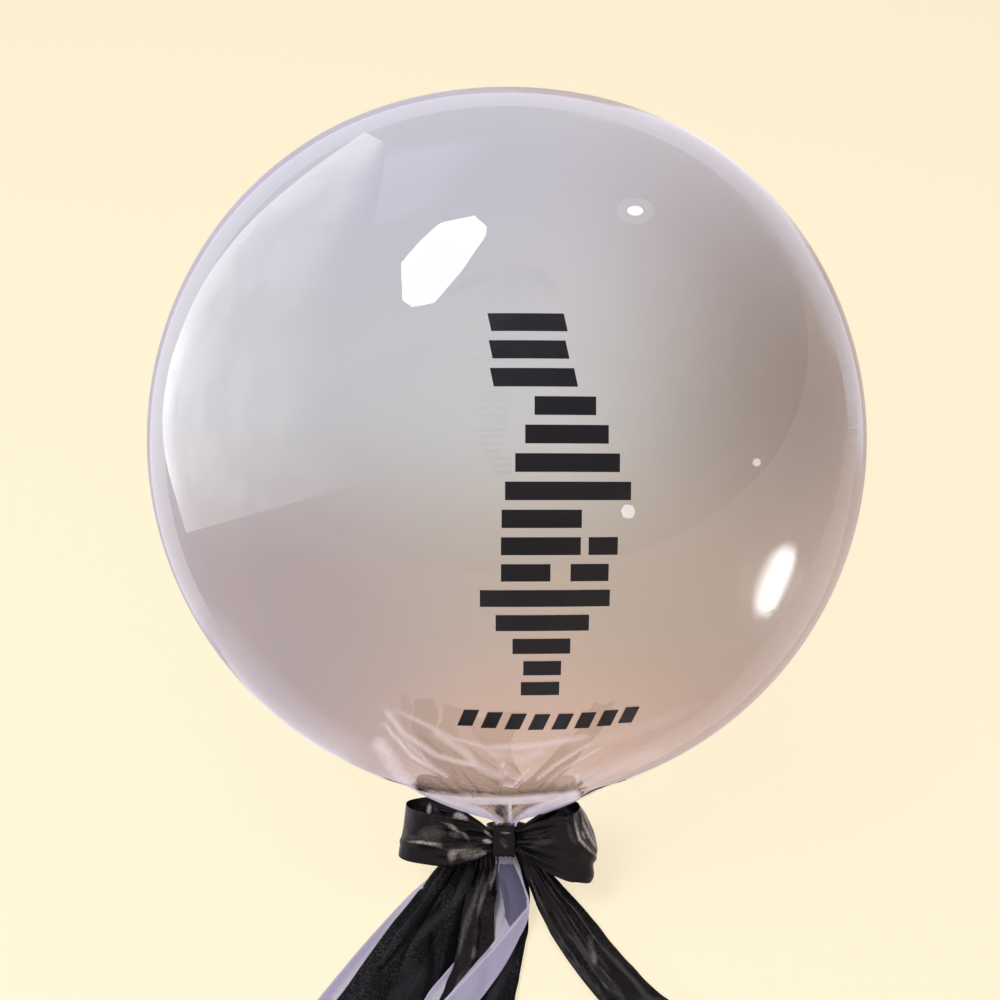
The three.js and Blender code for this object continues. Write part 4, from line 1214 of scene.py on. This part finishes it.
def lay_down(grid, thickness):
    """Lifts a ribbon clear of the floor and of what lies there, and then adds it to the height map."""
    i, j = bed_cells(grid)
    on_floor = eased(-BED_START - BED_EASE, -BED_START, -grid[..., 1])
    below = widened_bed()[i, j] * on_floor
    laid = grid.copy()
    laid[..., 2] = np.maximum(laid[..., 2], below + thickness / 2 + AIR)
    for a in np.linspace(0, 1, 5):
        for b in np.linspace(0, 1, 3):
            row, next_row = ((1 - b) * part[:, :-1] + b * part[:, 1:] for part in (laid[:-1], laid[1:]))
            between = (1 - a) * row + a * next_row
            between = between[between[..., 1] < BED_START]
            i, j = bed_cells(between)
            np.maximum.at(bed, (i, j), between[:, 2] + thickness / 2)
    return laid


print("height map:", BED_SIZE, "cells of", CELL, "mm")

# %% The ribbons' own measures
STATIONS = [0, 10, 25, 45, 70, 100, 150, 200, 260]
RIBBONS = {
    "lilac_ribbon_left": {
        "head": [(-0.6, 245.3, -9.6), (-0.6, 251, -9.6), (-0.8, 260, -9.7)],
        "floor": [
            (-17, -165.5, 11), (-34, -173.5, 7), (-50, -187, 4), (-70, -213, 3), (-87, -238, 3),
            (-106, -268, 3), (-130, -306, 6), (-146, -346, 2.5), (-170, -384, 2.5),
        ],
        "wide": [1.5, 1.6, 5, 8, 9, 9, 9, 9, 9],
        "fold": [0.4, 0.5, 0.8, 0.8, 0.5, 0.3, 0.3, 0.3, 0.3],
        "waves": 1, "slant": 10, "notch": 0, "half": 9, "finish": "lilac",
    },
    "velvet_ribbon_outer": {
        "head": [(-4.2, 245.3, -7.9), (-4.2, 251, -7.9), (-4.4, 259.5, -7.9)],
        "floor": [
            (-26, -163, 18), (-37, -174, 11), (-48, -192, 5), (-66, -223, 4), (-86.5, -265, 4),
            (-105, -304, 6), (-115, -346, 4), (-136, -390, 3),
        ],
        "wide": [1.5, 1.8, 5.5, 9, 10, 11, 13, 16, 17.5],
        "fold": [0.5, 0.6, 1.6, 2.6, 2.6, 2.2, 1.6, 1.2, 1],
        "waves": 1, "slant": -12, "notch": 0, "half": 17.5, "finish": "velvet",
    },
    "velvet_ribbon_inner": {
        "head": [(-6.8, 245.3, -4.6), (-6.8, 251, -4.6), (-6.9, 259.5, -4.6)],
        "floor": [
            (-17, -166, 22), (-21.5, -177, 17), (-28, -192, 8), (-39, -224, 4), (-53, -265, 4),
            (-68, -304, 7), (-72, -346, 4), (-84, -392, 3),
        ],
        "wide": [1.2, 1.6, 6.5, 10.5, 14.5, 18, 18, 18, 18],
        "fold": [0.4, 0.6, 1.6, 2.6, 2.8, 2.4, 1.8, 1.4, 1],
        "waves": 1.5, "slant": 12, "notch": 0, "half": 18, "finish": "velvet",
    },
    "velvet_ribbon_right": {
        "head": [(5.8, 245.3, -5.6), (5.8, 251, -5.6), (7, 260, -6.4)],
        "floor": [
            (7, -169.5, 12), (6.5, -181, 7), (4.5, -198, 4), (-1, -227, 4), (-9, -265, 4),
            (-10, -304, 6), (-2, -346, 4), (4, -392, 3),
        ],
        "wide": [1.3, 1.6, 5, 8.5, 11, 12.5, 15, 17, 17.5],
        "fold": [0.5, 0.6, 1.6, 2.6, 2.8, 2.4, 1.6, 1.2, 1],
        "waves": 1.5, "slant": -12, "notch": 0, "half": 17.5, "finish": "velvet",
    },
    "lilac_ribbon_back": {
        "head": [(1.4, 245.3, -6.9), (1.4, 251, -6.9), (0, 260, -6.6)],
        "floor": [
            (-1.5, -173.5, 18), (-3, -183, 12), (-4.5, -196, 7), (-9, -217, 6), (-24, -243, 6),
            (-41, -270, 6), (-50, -306, 6), (-48, -350, 2.5),
        ],
        "wide": [1.3, 1.5, 5, 6.5, 7.5, 8.5, 9, 9, 9],
        "fold": [0.4, 0.5, 0.8, 0.8, 0.5, 0.3, 0.3, 0.3, 0.3],
        "waves": 1, "slant": -10, "notch": 0, "half": 9, "finish": "lilac",
    },
    "bow_tail_left": {
        "head": [(-2.6, 250, 13), (-8.6, 250, 13), (-13.2, 253.6, 12.2)],
        "floor": [
            (-13.2, -177, 22), (-15, -190, 15), (-17.5, -208, 8), (-20, -234, 7), (-27, -266, 7),
            (-36, -300, 8), (-30, -334, 5), (-34, -370, 3),
        ],
        "wide": [2.6, 2.9, 5.8, 9.2, 10, 11, 14, 16.5, 17],
        "fold": [0.4, 0.6, 1.2, 2, 2.4, 2.4, 2, 1.4, 1],
        "waves": 1.5, "slant": 0, "notch": 16, "half": 17, "finish": "gloss",
    },
    "lilac_ribbon_front": {
        "head": [(0, 245.3, 7), (0, 251, 7), (0.2, 259, 7)],
        "floor": [
            (1.5, -179, 21), (3.5, -189, 15.5), (6, -199, 11.5), (5.5, -211, 9.5), (-4, -234, 9),
            (-25, -267, 8), (-48, -300, 5), (-62, -340, 3),
        ],
        "wide": [2.4, 3, 7, 8.5, 6, 7.5, 9, 9, 9],
        "fold": [0.2, 0.3, 0.8, 1, 0.8, 0.5, 0.3, 0.3, 0.3],
        "waves": 1, "slant": 10, "notch": 0, "half": 9, "finish": "lilac",
    },
    "bow_tail_right": {
        "head": [(0, 250.3, 12.9), (5, 250.6, 12.9), (10.2, 255, 11.8)],
        "floor": [
            (17, -178, 21.5), (25.5, -190, 14), (37, -206, 8), (50, -228, 6), (74, -264, 6),
            (105, -298, 9), (126, -332, 6), (152, -362, 3),
        ],
        "wide": [2.8, 3.2, 6, 10.5, 14, 15, 16, 17, 17],
        "fold": [0.4, 0.6, 1.4, 2.6, 3, 2.6, 2, 1.4, 1],
        "waves": 1, "slant": 0, "notch": 16, "half": 17, "finish": "gloss", "gather": 0.55,
    },
}
FINISHES = {
    "gloss": {"material": gloss_material, "thickness": GLOSS_WALL, "ruffle": 0.55, "size": 24, "gather": 1.1},
    "velvet": {"material": velvet_material, "thickness": 0.8, "ruffle": 0.5, "size": 30, "gather": 0.5},
    "lilac": {"material": lilac_material, "thickness": 0.5, "ruffle": 0.12, "size": 26, "gather": 0.0},
}


# %% Shape one ribbon
ROW_STEP, RIBBON_COLUMNS, TURN_LENGTH, ROW_CROWDING = 0.9, 45, 40, 1.1
GATHER_FROM, GATHER_TO, RUFFLE_FROM = (6, 22), (70, 170), (8, 45)
UP = np.array([0.0, 0.0, 1.0])


def ribbon_grid(head, floor, wide, fold, waves, slant, notch, seed, gather, finish):
    """A ribbon's points in millimetres, with each one's place on the cloth, and its length."""
    heads = [placed(*(np.array(v, float) for v in place)) for place in head]
    line = smooth_line([*heads, *floor])
    length = distances_along(line)[-1]
    across = np.linspace(-1, 1, RIBBON_COLUMNS)[None, :]
    trimmed = notch * (1 - np.abs(across)) + (abs(slant) + slant * across) / 2
    rows = np.linspace(0, 1, int(length / ROW_STEP))[:, None] ** ROW_CROWDING
    reached = rows * (1 - trimmed / length) * length
    point = read_line(line, reached)
    tangent = unit(read_line(line, reached + 0.5) - read_line(line, reached - 0.5))
    turned = eased(0, TURN_LENGTH, reached)[..., None]
    side = unit(np.cross(tangent, FRONT * (1 - turned) + UP * turned))
    normal = np.cross(side, tangent)
    half = np.interp(reached, STATIONS, wide)
    lift = np.interp(reached, STATIONS, fold) * np.cos(math.pi * waves * across)
    gathered = eased(*GATHER_FROM, reached) * (1 - eased(*GATHER_TO, reached))
    lift = lift + gathered * gather * half / 9 * np.cos(3.6 * math.pi * across + seed)
    grid = point - side * (across * half)[..., None] + normal * lift[..., None]
    quiet = eased(*RUFFLE_FROM, reached)[..., None]
    grid = grid + (ruffled(grid, seed, finish["ruffle"], finish["size"]) - grid) * quiet
    return grid, np.stack([across * half, reached], axis=-1), length


print("a ribbon has", RIBBON_COLUMNS, "points across and a row each", ROW_STEP, "mm")

# %% Painted highlights and painted shade in the ribbons' folds
# Painted highlights above zero and painted shade below; on the lilac ribbons the broad pale strokes are
# partly the paler satin back.
RIBBON_HIGHLIGHTS_AND_SHADE = {
    "lilac_ribbon_front": [
        ([(514, 862), (522, 880), (528, 898), (528, 908), (510, 930), (493, 950), (446, 1000)], 1.9, 0.75),
        ([(529, 912), (520, 935), (480, 1000)], 5, 0.12),
    ],
    "lilac_ribbon_back": [([(497, 895), (494, 930), (486, 955), (440, 1000)], 13, 0.75, 0.6)],
    "lilac_ribbon_left": [([(445, 862), (415, 900), (385, 945), (340, 1000)], 12, 0.8, 0.7)],
    "bow_tail_left": [
        ([(489, 862), (480, 884), (470, 914), (461, 952)], 4.2, 0.11),
        ([(494, 864), (487, 884), (480, 905), (476, 925)], 3.4, 0.20),
        ([(497, 860), (494, 876), (489, 892)], 2.6, 0.5),
        ([(501, 862), (500, 880)], 2.4, 0.4),
        ([(470, 900), (463, 935), (456, 968)], 3.2, 0.14),
        ([(475, 944), (473, 963)], 4.2, 0.15),
        ([(465, 965), (455, 990), (449, 1000)], 4, 0.07),
        ([(493, 890), (488, 925), (484, 950)], 3.5, -0.9),
        ([(481, 930), (476, 955)], 3, -0.6),
    ],
    "bow_tail_right": [
        ([(526, 866), (537, 895), (552, 925)], 2.4, 0.07),
        ([(541, 872), (556, 898), (572, 918)], 2, 0.06),
        ([(588, 930), (591, 948), (596, 972)], 5.5, 0.10),
        ([(592, 946), (596, 968)], 4, 0.22),
        ([(588, 938), (598, 936)], 4, 0.06),
        ([(553, 915), (575, 926), (597, 935)], 2, -0.95),
        ([(533, 868), (545, 895), (556, 915)], 3.5, -0.9),
        ([(520, 866), (530, 890), (548, 925)], 2, -0.8),
        ([(560, 930), (590, 975), (620, 1000)], 9, -0.6),
        ([(605, 950), (640, 1000)], 6, -0.5),
    ],
    "velvet_ribbon_outer": [
        ([(455, 872), (425, 915), (380, 968)], 5, -1.0, 0.7),
        ([(440, 878), (400, 935), (380, 962)], 6, 0.12),
    ],
    "velvet_ribbon_inner": [
        ([(470, 872), (452, 905), (425, 930), (395, 965)], 7, 0.35),
        ([(400, 965), (415, 975), (395, 1000)], 16, 0.30),
        ([(478, 880), (462, 915), (452, 955), (440, 1000)], 10, -1.0, 0.6),
        ([(440, 905), (400, 955), (380, 985)], 3, -0.9),
        ([(430, 935), (432, 965), (424, 1000)], 5, -1.0, 0.7),
    ],
    "velvet_ribbon_right": [
        ([(522, 935), (508, 965), (490, 1000)], 9, 0.40),
        ([(527, 920), (524, 950), (514, 1000)], 3, -0.7),
    ],
}
# A shaded lilac panel painted dark, and one painted paler where the satin back shows.
RIBBON_PANELS = {
    "lilac_ribbon_front": [
        ([(500, 864), (514, 864), (527, 897), (527, 907), (510, 928), (500, 908), (495, 888)], -0.9),
        ([(498, 900), (510, 928), (503, 937), (493, 949), (488, 949), (490, 905)], 0.45),
    ],
}
print("ribbons with strokes:", len(RIBBON_HIGHLIGHTS_AND_SHADE))

# %% Lay the ribbons
FIRST_SEED, PLAIN = 20, 0.1
ribbon_pieces = {}
for seed, (name, ribbon) in enumerate(RIBBONS.items()):
    shape = {key: ribbon[key] for key in ("head", "floor", "wide", "fold", "waves", "slant", "notch")}
    finish = FINISHES[ribbon["finish"]]
    gather = ribbon.get("gather", finish["gather"])
    grid, cloth, length = ribbon_grid(seed=FIRST_SEED + seed, gather=gather, finish=finish, **shape)
    grid = lay_down(grid, finish["thickness"])
    piece = sheet_piece(name + "_cloth", grid, finish["thickness"], finish["material"], cloth)
    seen = seen_at(grid)
    tone = drawn(seen, RIBBON_HIGHLIGHTS_AND_SHADE[name], 1.0, TAPER if ribbon["finish"] == "gloss" else 0)
    for corners, amount in RIBBON_PANELS.get(name, []):
        tone = np.where(within(seen, corners) & (np.abs(tone) < PLAIN), amount, tone)
    store_tone(piece, tone)
    ribbon_pieces[name] = (piece, length, ribbon["half"])

# %% [markdown]
# ## Vinyl marks
#
# The marks on the film are cut vinyl: short bars in a column, two more at its side, and a curved row of
# dashes below. They repeat one shape along a surface, so Geometry Nodes make them all. A cloud of points
# holds each bar's place and size. The tree sets a small grid on every point, scales it, rolls the whole
# flat pattern on to the ball, and gives it a thickness. Nothing is random here, and the named inputs are
# the ball's radius, the gap under the vinyl and its thickness.

# %% Places of the marks
COLUMN_TOP, COLUMN_PITCH, BAR_HEIGHT = 55, 14.6, 9.6
COLUMN = {
    "vinyl_top": (-1, [(-9.7, 29.8), (-9, 30.6), (-8.4, 35)]),
    "vinyl_upper": (0, [(13.5, 45.5), (8.7, 52.2), (3.6, 58.3), (-1.6, 64.5)]),
    "vinyl_middle": (0, [(-3.4, 38.2), (-3.7, 37.8), (-3.7, 22)]),
    "vinyl_lower": (0, [(-14.7, 54), (-6.5, 43), (2.4, 33.2), (8.2, 28.5), (7, 27.8)]),
}
SIDE_BARS = {"vinyl_side_1": (42, 57.7, -61.8), "vinyl_side_2": (32.6, 53, -76.4)}
DASHES, DASH_MIDDLE, DASH_PITCH, DASH_LENGTH, DASH_HEIGHT = 8, 23.8, 13, 8.4, 13.5
DASH_LEAN, DASH_ROW_UP, DASH_ROW_RISE = 2, -176.5, 4.8

marks, marked_nodes = [], []  # each mark: middle, height up, length, height, lean
for name, (lean, ends) in COLUMN.items():
    for k, (left, right) in enumerate(ends):
        up = COLUMN_TOP - COLUMN_PITCH * len(marks)
        marks.append(((left + right) / 2, up, right - left, BAR_HEIGHT, lean))
        marked_nodes.append(f"{name}_{k + 1}")
for name, (left, right, up) in SIDE_BARS.items():
    marks.append(((left + right) / 2, up, right - left, BAR_HEIGHT, 0))
    marked_nodes.append(name)
for k in range(DASHES):
    place = k - (DASHES - 1) / 2
    up = DASH_ROW_UP + DASH_ROW_RISE * (place / (DASHES / 2)) ** 2
    marks.append((DASH_MIDDLE + place * DASH_PITCH, up, DASH_LENGTH, DASH_HEIGHT, DASH_LEAN))
    marked_nodes.append(f"vinyl_dash_{k + 1}")
print("marks:", len(marks))

# %% The tree that cuts the vinyl
vinyl_tree = bpy.data.node_groups.new("cut_vinyl", "GeometryNodeTree")
interface = vinyl_tree.interface
interface.new_socket("Geometry", in_out="INPUT", socket_type="NodeSocketGeometry")
socket_ids = {}
for name in ("Ball Radius", "Gap", "Thickness"):
    socket_ids[name] = interface.new_socket(name, in_out="INPUT", socket_type="NodeSocketFloat").identifier
interface.new_socket("Geometry", in_out="OUTPUT", socket_type="NodeSocketGeometry")
given = node(vinyl_tree, "NodeGroupInput").outputs
WELD_DISTANCE = 0.00001


def cut_node(kind, values=None, **settings):
    """The first output of a new node in the vinyl's tree."""
    return node(vinyl_tree, kind, values, **settings).outputs[0]


def cut_maths(operation, a, b=0.0):
    """One step of arithmetic in the vinyl's tree."""
    return maths(vinyl_tree, operation, a, b)


def stored(name, kind="FLOAT_VECTOR"):
    """Reads a value that each point or corner carries."""
    return cut_node("GeometryNodeInputNamedAttribute", {"Name": name}, data_type=kind)


def scaled(direction, length):
    """A direction made as long as a number says."""
    return cut_node("ShaderNodeVectorMath", {0: direction, "Scale": length}, operation="SCALE")


# %% One small grid on every point
sheet = cut_node("GeometryNodeMeshGrid", {"Size X": 1.0, "Size Y": 1.0, "Vertices X": 17, "Vertices Y": 5})
flat_place = cut_node("GeometryNodeInputPosition")
carried = {"Geometry": sheet, "Name": "cut", "Value": flat_place}
cut = cut_node("GeometryNodeStoreNamedAttribute", carried, data_type="FLOAT_VECTOR", domain="POINT")
on_points = {"Points": given["Geometry"], "Instance": cut, "Scale": stored("mark_size")}
real = cut_node("GeometryNodeRealizeInstances", {0: cut_node("GeometryNodeInstanceOnPoints", on_points)})
spot, cut_spot = axes(vinyl_tree, flat_place), axes(vinyl_tree, stored("cut"))
lean_shift = cut_maths("MULTIPLY", stored("mark_lean", "FLOAT"), cut_maths("MULTIPLY", cut_spot[1], 2.0))
print("nodes for the flat bars:", len(vinyl_tree.nodes))

# %% Roll the bars on to the ball
rise = cut_maths("DIVIDE", spot[1], given["Ball Radius"])
level = cut_maths("COSINE", rise)
leaned = cut_maths("ADD", spot[0], lean_shift)
sideways = cut_maths("DIVIDE", leaned, cut_maths("MULTIPLY", given["Ball Radius"], level))
to_right = scaled(tuple(RIGHT), cut_maths("MULTIPLY", level, cut_maths("SINE", sideways)))
to_neck = scaled(tuple(DOWN), cut_maths("MULTIPLY", cut_maths("SINE", rise), -1.0))
to_front = scaled(tuple(FRONT), cut_maths("MULTIPLY", level, cut_maths("COSINE", sideways)))
outwards = vectors(vinyl_tree, "ADD", vectors(vinyl_tree, "ADD", to_right, to_neck)[0], to_front)[0]
on_ball = scaled(outwards, cut_maths("ADD", given["Ball Radius"], given["Gap"]))
on_ball = vectors(vinyl_tree, "ADD", on_ball, (0, 0, CENTRE_HEIGHT * MM))[0]
rolled = cut_node("GeometryNodeSetPosition", {"Geometry": real, "Position": on_ball})
print("nodes with the rolled bars:", len(vinyl_tree.nodes))

# %% Give the bars their thickness
under = cut_node("GeometryNodeFlipFaces", {"Mesh": rolled})
outset = {"Mesh": rolled, "Offset Scale": given["Thickness"], "Individual": False}
raised_sheet = cut_node("GeometryNodeExtrudeMesh", outset, mode="FACES")
closed_sheet = node(vinyl_tree, "GeometryNodeJoinGeometry")
vinyl_tree.links.new(under, closed_sheet.inputs[0])
vinyl_tree.links.new(raised_sheet, closed_sheet.inputs[0])
weld = {"Geometry": closed_sheet.outputs[0], "Distance": WELD_DISTANCE}
welded = cut_node("GeometryNodeMergeByDistance", weld)
coated = cut_node("GeometryNodeSetMaterial", {"Geometry": welded, "Material": vinyl_material})
node(vinyl_tree, "NodeGroupOutput", {0: coated})
print("nodes in all:", len(vinyl_tree.nodes))

# %% Cut the marks
VINYL_GAP, VINYL_THICKNESS = 0.32, 0.3

points = bpy.data.meshes.new("vinyl_points")
points.from_pydata([(x * MM, up * MM, 0) for x, up, *_ in marks], [], [])
mark_sizes = np.array([(long * MM, high * MM, 1) for _, _, long, high, _ in marks], np.float32)
points.attributes.new("mark_size", "FLOAT_VECTOR", "POINT").data.foreach_set("vector", mark_sizes.ravel())
mark_leans = np.array([lean * MM for *_, lean in marks], np.float32)
points.attributes.new("mark_lean", "FLOAT", "POINT").data.foreach_set("value", mark_leans)
source = add_object("vinyl_points", points)
cutter = source.modifiers.new("cut_vinyl", "NODES")
cutter.node_group = vinyl_tree
cutter[socket_ids["Ball Radius"]] = RADIUS * MM
cutter[socket_ids["Gap"]] = VINYL_GAP * MM
cutter[socket_ids["Thickness"]] = VINYL_THICKNESS * MM
evaluated = source.evaluated_get(bpy.context.evaluated_depsgraph_get())
vinyl_mesh = bpy.data.meshes.new_from_object(evaluated)
vinyl_mesh.name = "vinyl_marks"
bpy.data.objects.remove(source)
vinyl = add_object("vinyl_marks", vinyl_mesh)
print("vinyl:", len(vinyl_mesh.polygons), "faces")

# %% [markdown]
# ## Attach the pieces
#
# Every piece rides on the one body of this balloon and stands for its solid.

# %% Ride and replace
SLOTS = {"gloss": "glossy_black_ribbon", "velvet": "black_velvet", "lilac": "lilac_grosgrain"}
SINGLE_PIECES = (
    (film, ["balloon"], "clear_film"),
    (film_gathers, [], "clear_film"),
    (film_creases, [], "clear_film"),
    (bow, ["bow_loops"], SLOTS["gloss"]),
    (knot, ["bow_knot"], SLOTS["gloss"]),
    (wrap, ["bow_neck_wrap"], SLOTS["gloss"]),
    (vinyl, marked_nodes, "black_vinyl"),
)
for piece, stands_for, finish in SINGLE_PIECES:
    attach(piece, "root")
    if stands_for:
        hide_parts(*stands_for)

for name, (piece, length, half) in ribbon_pieces.items():
    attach(piece, "root")
    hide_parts(name)
print("pieces:", len(SINGLE_PIECES) + len(ribbon_pieces))
